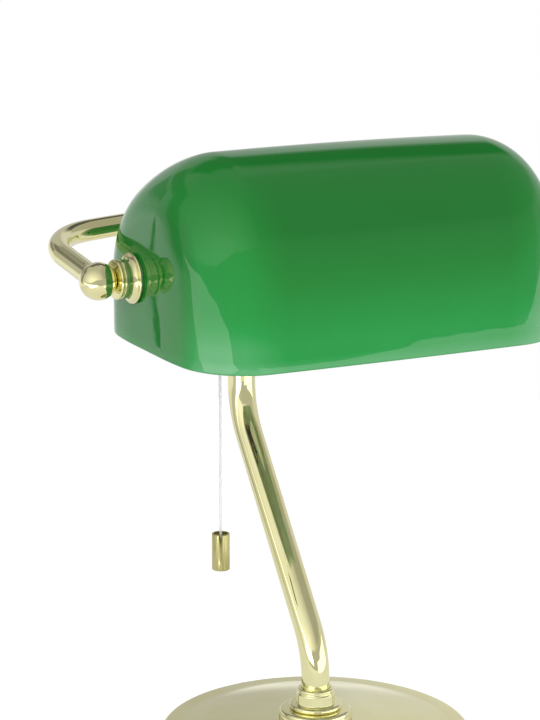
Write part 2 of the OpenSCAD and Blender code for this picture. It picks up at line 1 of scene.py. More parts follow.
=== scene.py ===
"""Banker's desk lamp: camera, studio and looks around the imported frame.

The cased glass shade tilts between the ball ends of a brass yoke, on a leaning tube stem and a weighted
round base. Sizes are in millimetres and become metres when a mesh is made. Places come from the frame.
"""

from __future__ import annotations

import logging
import math
from collections.abc import Callable, Sequence
from dataclasses import dataclass, field, replace
from enum import Enum
from typing import ClassVar

import bmesh
import bpy
from mathutils import Matrix, Vector

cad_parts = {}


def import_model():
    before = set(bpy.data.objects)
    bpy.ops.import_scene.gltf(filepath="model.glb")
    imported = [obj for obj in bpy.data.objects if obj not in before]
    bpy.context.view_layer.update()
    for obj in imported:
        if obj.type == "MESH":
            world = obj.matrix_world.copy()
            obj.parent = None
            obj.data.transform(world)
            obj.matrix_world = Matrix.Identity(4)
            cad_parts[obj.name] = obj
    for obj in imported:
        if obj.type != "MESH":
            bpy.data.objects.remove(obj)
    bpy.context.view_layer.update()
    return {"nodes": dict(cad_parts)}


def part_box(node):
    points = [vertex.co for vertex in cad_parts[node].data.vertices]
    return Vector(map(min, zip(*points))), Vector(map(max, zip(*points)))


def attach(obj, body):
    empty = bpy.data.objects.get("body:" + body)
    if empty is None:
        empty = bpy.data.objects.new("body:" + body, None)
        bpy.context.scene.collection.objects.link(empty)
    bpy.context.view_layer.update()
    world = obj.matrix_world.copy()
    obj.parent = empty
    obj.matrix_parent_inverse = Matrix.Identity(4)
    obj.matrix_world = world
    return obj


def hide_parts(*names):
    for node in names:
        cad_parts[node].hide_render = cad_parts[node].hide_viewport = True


LOG = logging.getLogger("desk_lamp")
MM = 0.001
WHITE = "#ffffff"
ON_AXIS = 1e-6
SAME_POINT = 1e-8
Point = tuple[float, float]
Corner = tuple[float, ...]
Face = tuple[int, ...]
Fade = tuple[float, float, float, float]
RadiusAt = Callable[[float, float, float], float]
Object = bpy.types.Object
Tree = bpy.types.NodeTree
Socket = bpy.types.NodeSocket


class Body(Enum):
    """The frame's bodies."""

    STAND = "stand"
    SHADE = "shade"
    PULL = "pull"
    BULB = "bulb"


class Side(Enum):
    """The two ends of the shade; the value points outwards along X."""

    LEFT = -1
    RIGHT = 1

    def label(self, name: str) -> str:
        """A name with its side in front."""
        return f"{self.name.lower()}_{name}"


# ---- nodes and colours ----


def linear(hex_colour: str) -> tuple[float, float, float, float]:
    """Turns an sRGB hex colour into linear light.

    Args:
        hex_colour: The colour as #rrggbb.

    Returns:
        Red, green and blue as linear values, and 1 for alpha.
    """
    channels = [int(hex_colour[i : i + 2], 16) / 255 for i in (1, 3, 5)]
    red, green, blue = (c / 12.92 if c <= 0.04045 else ((c + 0.055) / 1.055) ** 2.4 for c in channels)
    return red, green, blue, 1.0


def add_node(
    tree: Tree,
    kind: str,
    inputs: dict[str | int, object] | None = None,
    stops: Sequence[tuple[float, str]] = (),
    **settings: object,
) -> bpy.types.NodeOutputs:
    """Adds a node with its settings, values and links.

    Args:
        tree: The node tree that gets the node.
        kind: The node's type name, without the ShaderNode in front.
        inputs: A value or another node's output socket, for each input by name or place.
        stops: Place and hex colour of each stop, for a colour ramp.
        settings: The node's own properties.

    Returns:
        The new node's output sockets.
    """
    node = tree.nodes.new("ShaderNode" + kind)
    for name, value in settings.items():
        setattr(node, name, value)
    for name, value in (inputs or {}).items():
        if isinstance(value, Socket):
            tree.links.new(value, node.inputs[name])
        else:
            node.inputs[name].default_value = value
    if stops:
        elements = node.color_ramp.elements
        while len(elements) < len(stops):
            elements.new(0.5)
        for element, (place, hex_colour) in zip(elements, stops):
            element.position = place
            element.color = linear(hex_colour)
    return node.outputs


def new_material(name: str, constants: dict[str, object]) -> tuple[bpy.types.Material, Tree, bpy.types.Node]:
    """Makes a material with a Principled shader that has its constants set.

    Args:
        name: The material's name.
        constants: The value of each of the shader's inputs that is the same all over.

    Returns:
        The material, its node tree and its shader.
    """
    made = bpy.data.materials.new(name)
    made.use_nodes = True
    shader = made.node_tree.nodes["Principled BSDF"]
    for socket, value in constants.items():
        shader.inputs[socket].default_value = value
    return made, made.node_tree, shader


def add_object(name: str, data: bpy.types.ID) -> Object:
    """Adds an object to the scene, at the frame's origin.

    Args:
        name: The object's name.
        data: Its mesh, lamp or camera.

    Returns:
        The object.
    """
    made = bpy.data.objects.new(name, data)
    bpy.context.scene.collection.objects.link(made)
    return made


def grain(size_mm: float) -> float:
    """The noise scale at which one blotch is about size_mm across."""
    return 1 / (size_mm * MM)


def ridges(pitch_mm: float) -> float:
    """The wave scale at which the bands lie pitch_mm apart."""
    return math.pi / 10 / (pitch_mm * MM)


# ---- finishes ----

# the inputs that say what a range is mapped from and to
SPAN = ("From Min", "From Max", "To Min", "To Max")
# a noise's darkest and lightest blotches, apart from rare ones
CLOUD = (0.3, 0.7)


@dataclass(frozen=True)
class Finish:
    """A real material and how its surface was made; sizes are in millimetres.

    Milk is the share of light that scatters inside it, as in opal glass, and milk_mm how far it goes.
    """

    name: str
    slot: str
    colour: str
    tint: str
    roughness: tuple[float, float]
    mottle: float = 20.0
    relief: float = 0.0
    relief_size: float = 1.0
    stretch: tuple[float, float, float] = (1.0, 1.0, 1.0)
    metallic: float = 0.0
    ior: float = 1.5
    coat: float = 0.0
    coat_rough: float = 0.03
    sheen: float = 0.0
    transmission: float = 0.0
    milk: float = 0.0
    milk_mm: float = 1.0

    def material(self) -> bpy.types.Material:
        """Makes the finish's material once, and hands out the same one each time.

        Returns:
            The material.
        """
        made = bpy.data.materials.get(self.name)
        if made is None:
            made, tree, shader = new_material(self.name, self.constants())
            self.paint(tree, shader)
        return made

    def constants(self) -> dict[str, object]:
        """Lists what is the same all over the surface; a metal keeps the shader's own IOR.

        Returns:
            The value of each of the shader's inputs.
        """
        values = {
            "Metallic": self.metallic,
            "Coat Weight": self.coat,
            "Coat Roughness": self.coat_rough,
            "Sheen Weight": self.sheen,
            "Transmission Weight": self.transmission,
            "Subsurface Weight": self.milk,
            "Subsurface Scale": self.milk_mm * MM,
        }
        return values if self.metallic else {**values, "IOR": self.ior}

    def paint(self, tree: Tree, shader: bpy.types.Node) -> None:
        """Gives the shader its mottled colour and roughness, and its fine relief.

        Args:
            tree: The material's node tree.
            shader: Its Principled shader.
        """
        place = add_node(tree, "TexCoord")["Object"]
        mapped = add_node(tree, "Mapping", {"Vector": place, "Scale": self.stretch})[0]
        blotches = {"Vector": mapped, "Scale": grain(self.mottle), "Detail": 4.0}
        cloud = add_node(tree, "TexNoise", blotches)["Fac"]
        tree.links.new(self.colour_from(tree, cloud), shader.inputs["Base Color"])
        limits = dict(zip(SPAN, (*CLOUD, *self.roughness)))
        gloss = add_node(tree, "MapRange", {"Value": cloud, **limits})["Result"]
        tree.links.new(gloss, shader.inputs["Roughness"])
        if self.relief:
            surface = {"Height": self.height(tree, mapped), "Strength": 1.0, "Distance": self.relief * MM}
            tree.links.new(add_node(tree, "Bump", surface)["Normal"], shader.inputs["Normal"])

    def colour_from(self, tree: Tree, cloud: Socket) -> Socket:
        """Returns the mix of the two colours by the mottling."""
        return add_node(tree, "ValToRGB", {"Fac": cloud}, ((0.35, self.colour), (0.65, self.tint)))["Color"]

    def height(self, tree: Tree, place: Socket) -> Socket:
        """Returns the fine relief's height, from 0 to 1."""
        size = grain(self.relief_size)
        return add_node(tree, "TexNoise", {"Vector": place, "Scale": size, "Detail": 3.0})["Fac"]


@dataclass(frozen=True)
class LaidCord(Finish):
    """A cord that is laid from fine strands."""

    pitch: float = 1.2

    def height(self, tree: Tree, place: Socket) -> Socket:
        """Returns the height of the strands, wound round the cord."""
        lay = {"Vector": place, "Scale": ridges(self.pitch), "Distortion": 1.0}
        return add_node(tree, "TexWave", lay, bands_direction="DIAGONAL")["Fac"]


@dataclass(frozen=True)
class Felt(Finish):
    """Pressed wool, with short fibres that lie every way."""

    fibre: float = 0.6

    def height(self, tree: Tree, place: Socket) -> Socket:
        """Returns the height of the matted fibres."""
        cells = {"Vector": place, "Scale": grain(self.fibre)}
        return add_node(tree, "TexVoronoi", cells, feature="SMOOTH_F1")["Distance"]


def fade(tree: Tree, value: Socket, over: Fade, origin: float = 0.0) -> Socket:
    """Returns a share that changes evenly with a height, or with the distance in from an end.

    Args:
        tree: The material's node tree.
        value: The height, or the distance from the lamp's middle plane, in metres.
        over: Where the change starts and stops, in millimetres, and the share at each.
        origin: How far the end lies from the middle plane, in millimetres.

    Returns:
        The share.
    """
    limits = (abs(origin - over[0]) * MM, abs(origin - over[1]) * MM, *over[2:])
    return add_node(tree, "MapRange", {"Value": value, **dict(zip(SPAN, limits))})["Result"]


@dataclass(frozen=True)
class CasedGlass(Finish):
    """Green glass cased over white, with painted light: paler towards the rim, along its lip and at the
    upright corners, and less on the flat ends.
    """

    # colours of the painted light: lit over the rim and corners, and brightest along the lip
    painted_lit_colour: str = "#1fa648"
    painted_brightest_colour: str = "#5cba75"
    pivot_y: float = 0.0
    rim_z: float = 0.0
    rim_slope: float = 0.0
    half_length: float = 112.0
    # how far the painted light reaches: above the rim, up the crown, at the foot of the corners and along the
    # lip
    low: Fade = (72.0, 14.0, 0.0, 1.0)
    crown: Fade = (112.0, 60.0, 0.0, 0.6)
    foot: Fade = (30.0, 12.0, 0.0, 0.28)
    lip: Fade = (7.0, 0.0, 0.0, 0.3)
    # and by the distance from an end: less painted light on the flat end face, and where a corner starts and
    # stops
    face: Fade = (0.0, 7.0, 0.3, 1.0)
    inner: Fade = (46.0, 22.0, 0.0, 1.0)
    outer: Fade = (0.0, 5.0, 0.0, 1.0)
    unevenness: float = 0.04
    most: float = 1.5

    def colour_from(self, tree: Tree, cloud: Socket) -> Socket:
        """Paints light into the glass's colour: paler over the rim and at the upright corners, and less on
        the flat ends.

        Args:
            tree: The material's node tree.
            cloud: The mottling.

        Returns:
            The colour.
        """
        axes = add_node(tree, "SeparateXYZ", {0: add_node(tree, "TexCoord")["Object"]})
        slope = math.tan(math.radians(self.rim_slope))
        drop = add_node(tree, "Math", {0: axes["Y"], 1: -slope, 2: axes["Z"]}, operation="MULTIPLY_ADD")[0]
        rim = self.rim_z * MM - slope * self.pivot_y * MM
        height = add_node(tree, "Math", {0: drop, 1: rim}, operation="SUBTRACT")[0]
        side = add_node(tree, "Math", {0: axes["X"]}, operation="ABSOLUTE")[0]
        # painted light: paler over the rim, up the crown and at the foot of the corners, brighter along the
        # lip, weaker on the flat ends
        low, crown, foot, lip = (fade(tree, height, f) for f in (self.low, self.crown, self.foot, self.lip))
        ends = (self.face, self.inner, self.outer)
        face, inner, outer = (fade(tree, side, f, self.half_length) for f in ends)
        low = add_node(tree, "Math", {0: low, 1: face}, operation="MULTIPLY")[0]
        corner = add_node(tree, "Math", {0: inner, 1: outer}, operation="MULTIPLY")[0]
        ridge = add_node(tree, "Math", {0: corner, 1: crown}, operation="MULTIPLY")[0]
        rest = add_node(tree, "Math", {0: 1.0, 1: low}, operation="SUBTRACT")[0]
        painted_light = add_node(tree, "Math", {0: ridge, 1: rest, 2: low}, operation="MULTIPLY_ADD")[0]
        painted_light = add_node(tree, "Math", {0: corner, 1: foot, 2: painted_light}, operation="MULTIPLY_ADD")[0]
        limits = dict(zip(SPAN, (*CLOUD, -self.unevenness, self.unevenness)))
        for extra in (lip, add_node(tree, "MapRange", {"Value": cloud, **limits})["Result"]):
            painted_light = add_node(tree, "Math", {0: painted_light, 1: extra}, operation="ADD")[0]
        share = add_node(tree, "Math", {0: painted_light, 1: self.most}, operation="DIVIDE")[0]
        stops = ((0, self.colour), (0.3, self.tint), (0.667, self.painted_lit_colour), (0.95, self.painted_brightest_colour))
        return add_node(tree, "ValToRGB", {"Fac": share}, stops)["Color"]


# drawn tube and turned brass, polished and lacquered: a pale, almost white gold mirror
POLISHED_BRASS = Finish(
    "polished_brass", "brass", "#ece8b4", "#e7e1a9", (0.03, 0.06), 30, metallic=1, coat=0.15, coat_rough=0.02
)
# turned brass that is left as it comes from the lathe: duller, with fine rings
SATIN_BRASS = Finish(
    "turned_brass", "satin_brass", "#cdb774", "#bda55e", (0.2, 0.32), 8, 0.01, 0.4, metallic=1
)
# brass rod brushed along its length: deeper gold, with fine upright scratches
BRUSHED_BRASS = Finish(
    "brushed_brass", "pull_brass", "#d0c990", "#a69e62", (0.2, 0.34), 0.9, 0.006, 0.35, (1, 1, 0.05), 1
)
# green glass cased over white, blown in a mould and fire polished: deep colour under a hard, clear gloss,
# paler where light is painted towards the rim and corners
GREEN_GLASS = CasedGlass(
    "cased_green_glass", "green_glass", "#0f7925", "#138c2e", (0.015, 0.03), 60, 0.05, 40, ior=1.52
)
# the white glass under the green: milky and smooth, tinted green as painted light that comes through the
# green layer
OPAL_GLASS = Finish(
    "opal_glass_lining", "opal_glass", "#e0f0dd", "#d6e9d3", (0.08, 0.14), 40, 0.03, 30, milk=0.3, milk_mm=3
)
# bulb glass coated white inside: even, soft white with a faint gloss
BULB_GLASS = Finish(
    "coated_bulb_glass", "opal_glass", "#f6f5ef", "#efeee6", (0.12, 0.2), 15, milk=0.4, milk_mm=2
)
# grey cast iron, painted against rust: dark and pitted
CAST_IRON = Finish("cast_iron", "iron", "#3b3d40", "#4a4b4d", (0.55, 0.75), 5, 0.25, 1.4)
# steel plated with zinc: cool grey with a soft lustre
ZINC_STEEL = Finish("zinc_plated_steel", "steel", "#c4c8cc", "#aeb3b8", (0.25, 0.4), 4, 0.01, 0.6, metallic=1)
# the bulb's cap, pressed from aluminium: pale, slightly dull metal
ALUMINIUM = Finish("pressed_aluminium", "steel", "#d8dadb", "#c6c8ca", (0.22, 0.36), 3, metallic=1)
# pressed wool felt under the base: dark green fibres
GREEN_FELT = Felt("wool_felt", "felt", "#23402c", "#2f5238", (0.9, 1.0), 3, 0.4, sheen=0.4)
# moulded rubber: matt black with a faint bloom
BLACK_RUBBER = Finish("moulded_rubber", "black_rubber", "#1b1b1c", "#242425", (0.6, 0.75), 6, 0.03, 0.8)
# turned nylon: milky white and waxy
NYLON = Finish("turned_nylon", "nylon", "#ecebe2", "#e2e1d6", (0.35, 0.5), 6, ior=1.53, milk=0.3, milk_mm=1.5)
# moulded phenolic plastic: black with a hard gloss and slight flow marks
PHENOLIC = Finish(
    "moulded_phenolic", "black_plastic", "#171514", "#211d1b", (0.18, 0.3), 14, 0.02, 5, ior=1.6
)
# fired and glazed porcelain: warm white under a wet gloss
PORCELAIN = Finish(
    "glazed_porcelain", "ceramic", "#ece8dc", "#e2ddcf", (0.1, 0.2), 10, coat=0.6, milk=0.2, milk_mm=1
)
# vitreous black insulation of the bulb's cap: a glassy black
BLACK_GLASS = Finish("black_vitrite", "black_plastic", "#0d0d0e", "#151518", (0.08, 0.16), 5, ior=1.55)
# polyester laid from fine strands: near white and matt, slightly see-through at its edges
WHITE_CORD = LaidCord(
    "laid_polyester", "cord", "#fefefd", "#f7f7f4", (0.45, 0.6), 2, 0.02, sheen=0.4, transmission=0.6
)


# ---- meshes ----


def arc(centre: Point, radius: float, start: float, end: float, steps: int) -> list[Point]:
    """Points on a round stretch.

    Args:
        centre: The arc's centre.
        radius: Its radius.
        start: The angle of its first point, in degrees.
        end: The angle of its last point, in degrees.
        steps: How many equal steps it has.

    Returns:
        The points, both ends included.
    """
    angles = [math.radians(start + (end - start) * i / steps) for i in range(steps + 1)]
    return [(centre[0] + radius * math.cos(a), centre[1] + radius * math.sin(a)) for a in angles]


def eased(corners: Sequence[Corner], steps: int = 6) -> list[Point]:
    """Rounds the corners of a closed outline.

    Args:
        corners: Each corner's radius from the axis and height, and a rounding where it has one.
        steps: How many steps each rounding has.

    Returns:
        The outline's points.
    """
    outline: list[Point] = []
    count = len(corners)
    for i, corner in enumerate(corners):
        here = Vector(corner[:2])
        rounding = corner[2] if len(corner) > 2 else 0.0
        if not rounding:
            outline.append((here.x, here.y))
            continue
        before = (Vector(corners[i - 1][:2]) - here).normalized()
        after = (Vector(corners[(i + 1) % count][:2]) - here).normalized()
        half = before.angle(after) / 2
        centre = here + (before + after).normalized() * rounding / math.sin(half)
        first = here + before * rounding / math.tan(half) - centre
        last = here + after * rounding / math.tan(half) - centre
        turn = math.atan2(first.x * last.y - first.y * last.x, first.dot(last))
        start = math.atan2(first.y, first.x)
        ends = math.degrees(start), math.degrees(start + turn)
        outline += arc((centre.x, centre.y), rounding, *ends, steps)
    return outline


def bands(rings: int, sides: int, capped: bool = False) -> list[Face]:
    """Lists the faces between rings of points that follow one another.

    Args:
        rings: How many rings there are.
        sides: How many points each has.
        capped: Whether the first and the last ring are filled too.

    Returns:
        The corners of each face.
    """
    faces: list[Face] = [
        (here + s, here + (s + 1) % sides, here + sides + (s + 1) % sides, here + sides + s)
        for here in range(0, (rings - 1) * sides, sides)
        for s in range(sides)
    ]
    if capped:
        faces += [tuple(range(sides)), tuple(range((rings - 1) * sides, rings * sides))]
    return faces


def along(origin: Vector, direction: Vector) -> Matrix:
    """A matrix that sets a piece's own Z axis on a line.

    Args:
        origin: Where the line starts, in millimetres.
        direction: Where the piece's Z axis points.

    Returns:
        The matrix, in millimetres.
    """
    return Matrix.Translation(origin) @ direction.to_track_quat("Z", "Y").to_matrix().to_4x4()


def mesh_object(
    name: str,
    points: Sequence[Sequence[float]],
    faces: Sequence[Sequence[int]],
    finishes: Sequence[Finish],
    place: Matrix | None = None,
    zones: Sequence[int] = (),
    crease: float = 40.0,
) -> Object:
    """Makes a smooth-shaded object at the frame's origin.

    Args:
        name: The piece's name.
        points: Its corners, in millimetres.
        faces: The corners of each face.
        finishes: Its finishes.
        place: Where it goes, in millimetres.
        zones: The place of each face's finish, where there are several.
        crease: The angle in degrees past which an edge stays sharp.

    Returns:
        The object.
    """
    mesh = bpy.data.meshes.new(name)
    mesh.from_pydata([Vector(p) for p in points], [], [list(f) for f in faces])
    for finish in finishes:
        mesh.materials.append(finish.material())
    if zones:
        mesh.polygons.foreach_set("material_index", list(zones))
    mesh.transform(Matrix.Scale(MM, 4) @ (place or Matrix.Identity(4)))
    shell = bmesh.new()
    shell.from_mesh(mesh)
    bmesh.ops.remove_doubles(shell, verts=shell.verts, dist=SAME_POINT)
    bmesh.ops.dissolve_degenerate(shell, edges=shell.edges, dist=SAME_POINT)
    bmesh.ops.recalc_face_normals(shell, faces=shell.faces)
    shell.to_mesh(mesh)
    shell.free()
    smooth(mesh, crease)
    return add_object(name, mesh)


def smooth(mesh: bpy.types.Mesh, crease: float) -> None:
    """Shades a mesh smooth, apart from edges that turn by more than crease degrees."""
    mesh.shade_smooth()
    mesh.set_sharp_from_angle(angle=math.radians(crease))


def turned(
    name: str,
    outline: Sequence[Point],
    finish: Finish,
    place: Matrix | None = None,
    steps: int = 96,
    radius_at: RadiusAt = lambda radius, height, angle: radius,
) -> Object:
    """Turns a closed outline whose radius may change round the turn, as on a thread, a nut or a grip.

    Args:
        name: The piece's name.
        outline: Radius and height of each point.
        finish: Its finish.
        place: Where it goes, in millimetres.
        steps: How many steps the turn has.
        radius_at: Gives the radius for an outline point's radius and height and the turn's angle in radians.

    Returns:
        The object.
    """
    points = []
    for step in range(steps):
        angle = 2 * math.pi * step / steps
        for radius, height in outline:
            reach = radius_at(radius, height, angle) if radius > ON_AXIS else 0.0
            points.append((reach * math.cos(angle), reach * math.sin(angle), height))
    count = len(outline)
    faces = []
    for step in range(steps):
        here, there = step * count, (step + 1) % steps * count
        for i in range(count):
            after = (i + 1) % count
            if max(outline[i][0], outline[after][0]) > ON_AXIS:
                faces.append((here + i, there + i, there + after, here + after))
    return mesh_object(name, points, faces, [finish], place)


def swept(name: str, line: Sequence[Vector], skins: Sequence[float], finish: Finish, sides: int) -> Object:
    """Draws a tube along a line.

    Args:
        name: The piece's name.
        line: The points on its middle line, in millimetres.
        skins: Its outside radius, and its bore's radius if it is hollow.
        finish: Its finish.
        sides: How many sides it has.

    Returns:
        The object.
    """
    ways = [(line[min(i + 1, len(line) - 1)] - line[max(i - 1, 0)]).normalized() for i in range(len(line))]
    across = ways[0].orthogonal().normalized()
    rings: list[list[tuple[Vector, Vector]]] = []
    for point, way in zip(line, ways):
        across = (across - way * across.dot(way)).normalized()
        up = way.cross(across)
        angles = [2 * math.pi * s / sides for s in range(sides)]
        rings.append([(point, across * math.cos(a) + up * math.sin(a)) for a in angles])
    loops = [[p + out * skins[0] for p, out in ring] for ring in rings]
    hollow = len(skins) > 1
    if hollow:
        loops += [[p + out * skins[1] for p, out in ring] for ring in reversed(rings)]
        loops.append(loops[0])
    points = [p for loop in loops for p in loop]
    return mesh_object(name, points, bands(len(loops), sides, not hollow), [finish])


def cut(target: Object, tool: Object, operation: str = "DIFFERENCE") -> None:
    """Joins or cuts one mesh with another, and removes the tool.

    Args:
        target: The object that keeps its name.
        tool: The object that it is cut by or joined with.
        operation: The boolean's name.
    """
    change = target.modifiers.new("cut", "BOOLEAN")
    change.operation = operation
    change.object = tool
    change.solver = "EXACT"
    apply_modifiers(target)
    bpy.data.objects.remove(tool)


def apply_modifiers(made: Object) -> None:
    """Gives an object the mesh that its modifiers make, and removes them.

    Args:
        made: The object.
    """
    bpy.context.view_layer.update()
    result = bpy.data.meshes.new_from_object(made.evaluated_get(bpy.context.evaluated_depsgraph_get()))
    made.modifiers.clear()
    made.data = result


@dataclass
class Route:
    """A tube's middle line in its own flat plane, drawn as straight runs and bends."""

    at: Vector
    heading: float
    points: list[Vector] = field(default_factory=list)

    def __post_init__(self) -> None:
        """Starts the line."""
        self.points.append(self.at.copy())

    def run(self, length: float, step: float = 12.0) -> Route:
        """Goes straight on.

        Args:
            length: How far.
            step: The longest step between points.

        Returns:
            The route itself.
        """
        count = max(1, math.ceil(length / step))
        way = Vector((math.cos(self.heading), math.sin(self.heading)))
        for _ in range(count):
            self.at = self.at + way * length / count
            self.points.append(self.at.copy())
        return self

    def bend(self, radius: float, angle: float, step: float = 2.0) -> Route:
        """Turns left by an angle in degrees, or right where it is negative.

        Args:
            radius: The bend's radius.
            angle: How far it turns.
            step: The largest angle between points.

        Returns:
            The route itself.
        """
        count = max(2, math.ceil(abs(angle) / step))
        turn = math.radians(angle) / count
        chord = 2 * radius * math.sin(abs(turn) / 2)
        for _ in range(count):
            way = self.heading + turn / 2
            self.at = self.at + Vector((math.cos(way), math.sin(way))) * chord
            self.heading += turn
            self.points.append(self.at.copy())
        return self


def middle(node: str) -> Vector:
    """The middle of a node's box, in millimetres."""
    low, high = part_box(node)
    return (low + high) / 2 / MM


def extent(node: str) -> Vector:
    """The size of a node's box, in millimetres."""
    low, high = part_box(node)
    return (high - low) / MM


class SubAssembly:
    """Pieces that belong together and ride on one body."""

    body: ClassVar[Body] = Body.STAND

    def build(self) -> None:
        """Builds the pieces; each sub-assembly does this in its own way."""
        raise NotImplementedError

    def label(self, name: str) -> str:
        """The whole name of a piece or a node."""
        return name

    def place(self, node: str) -> Matrix:
        """Sets a piece's own Z axis upright, from the middle of its node's underside."""
        centre = middle(node)
        return Matrix.Translation((centre.x, centre.y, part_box(node)[0].z / MM))

    def fit(self, made: Object, finish: Finish, node: str) -> Object:
        """Sets a piece on its body, hides the frame's node that it stands for and logs it.

        Args:
            made: The piece.
            finish: The piece's finish; not used.
            node: The frame's node that it stands for.

        Returns:
            The piece.
        """
        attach(made, self.body.value)
        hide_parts(node)
        LOG.info("%s rides on %s, %d faces", made.name, self.body.value, len(made.data.polygons))
        return made

    def turn(
        self, name: str, node: str, outline: Sequence[Point], finish: Finish, steps: int, **shape: RadiusAt
    ) -> Object:
        """Turns a piece in its node's place and fits it.

        Args:
            name: The piece's name.
            node: The frame's node that it stands for.
            outline: Radius and height of each point.
            finish: Its finish.
            steps: How many steps the turn has.
            shape: The radius_at of a piece that isn't plain round.

        Returns:
            The piece.
        """
        name, node = self.label(name), self.label(node)
        return self.fit(turned(name, outline, finish, self.place(node), steps, **shape), finish, node)

    def ring(self, name: str, node: str, finish: Finish, rounding: float, bore: float = 10.1) -> None:
        """Turns a plain ring on the pivot axis with eased edges.

        Args:
            name: The piece's name.
            node: The frame's node that it stands for.
            finish: Its finish.
            rounding: How far its edges are eased.
            bore: Its bore's diameter.
        """
        name, node = self.label(name), self.label(node)
        size = extent(node)
        outer, half, inner = size.z / 2, size.x / 2, bore / 2
        ease = min(rounding, half * 0.8)
        slight = ease / 2
        corners = [(inner, -half, slight), (outer, -half, ease), (outer, half, ease), (inner, half, slight)]
        made = turned(name, eased(corners), finish, along(middle(node), Vector((1, 0, 0))))
        self.fit(made, finish, node)


# ---- camera and studio ----


@dataclass(frozen=True)
class Panel:
    """A brighter or darker stretch of the far studio that only shows as a reflection.

    Azimuth is 0 in front, 90 at the right and -90 at the left; elevation is above the horizon. The lean moves
    its azimuth for each degree of elevation, and the climb lifts it for each degree of azimuth.
    """

    azimuth: float
    elevation: float
    width: float
    height: float
    level: float
    softness: float
    lean: float = 0.0
    climb: float = 0.0

    def mask(self, tree: Tree, azimuth: Socket, elevation: Socket) -> Socket:
        """Adds the nodes that find the panel, with soft edges.

        Args:
            tree: The world's node tree.
            azimuth: A ray's azimuth in degrees.
            elevation: Its elevation in degrees.

        Returns:
            1 inside the panel and 0 outside it.
        """
        across = (azimuth, self.azimuth, self.width)
        upright = (elevation, self.elevation, self.height)
        soft = self.softness / 2
        inside = []
        for (angle, centre, span), (other, other_centre, _), skew in (
            (across, upright, self.lean),
            (upright, across, self.climb),
        ):
            shifted = add_node(tree, "Math", {0: other, 1: -skew, 2: angle}, operation="MULTIPLY_ADD")[0]
            middle_angle = centre - skew * other_centre
            off = add_node(tree, "Math", {0: shifted, 1: middle_angle}, operation="SUBTRACT")[0]
            turn = add_node(tree, "Math", {0: off, 1: 180.0, 2: -180.0}, operation="WRAP")[0]
            size = add_node(tree, "Math", {0: turn}, operation="ABSOLUTE")[0]
            limits = dict(zip(SPAN, (span / 2 - soft, span / 2 + soft, 1.0, 0.0)))
            edge = add_node(tree, "MapRange", {"Value": size, **limits}, interpolation_type="SMOOTHSTEP")
            inside.append(edge["Result"])
        return add_node(tree, "Math", dict(enumerate(inside)), operation="MULTIPLY")[0]


@dataclass(frozen=True)
class Card:
    """A glowing card that stands near the lamp and only shows as a reflection.

    Its foot lies at an azimuth and a distance from a point. Its outline runs along it and upwards from the
    floor, and its level changes between two heights.
    """

    name: str
    corner: Point
    azimuth: float
    distance: float
    outline: tuple[Point, ...]
    levels: Point
    heights: Point = (200.0, 130.0)


@dataclass(frozen=True)
class Softbox:
    """A soft lamp: where it hangs from its aim, its size and the level it gives there."""

    name: str
    azimuth: float
    elevation: float
    distance: float
    size: float
    level: float
    aim: tuple[float, float, float] = (0.0, -30.0, 270.0)


def from_angles(azimuth: float, elevation: float) -> Vector:
    """The direction at an azimuth and an elevation in degrees."""
    turn, up = math.radians(azimuth), math.radians(elevation)
    return Vector((math.sin(turn) * math.cos(up), -math.cos(turn) * math.cos(up), math.sin(up)))


def shown_rays(tree: Tree) -> tuple[Socket, Socket]:
    """Tells the rays apart that show the background.

    Args:
        tree: The node tree.

    Returns:
        1 for the camera's rays and those through glass, and 1 for those of a reflection.
    """
    path = add_node(tree, "LightPath")
    direct = {0: path["Is Camera Ray"], 1: path["Is Transmission Ray"]}
    return add_node(tree, "Math", direct, operation="MAXIMUM")[0], path["Is Glossy Ray"]


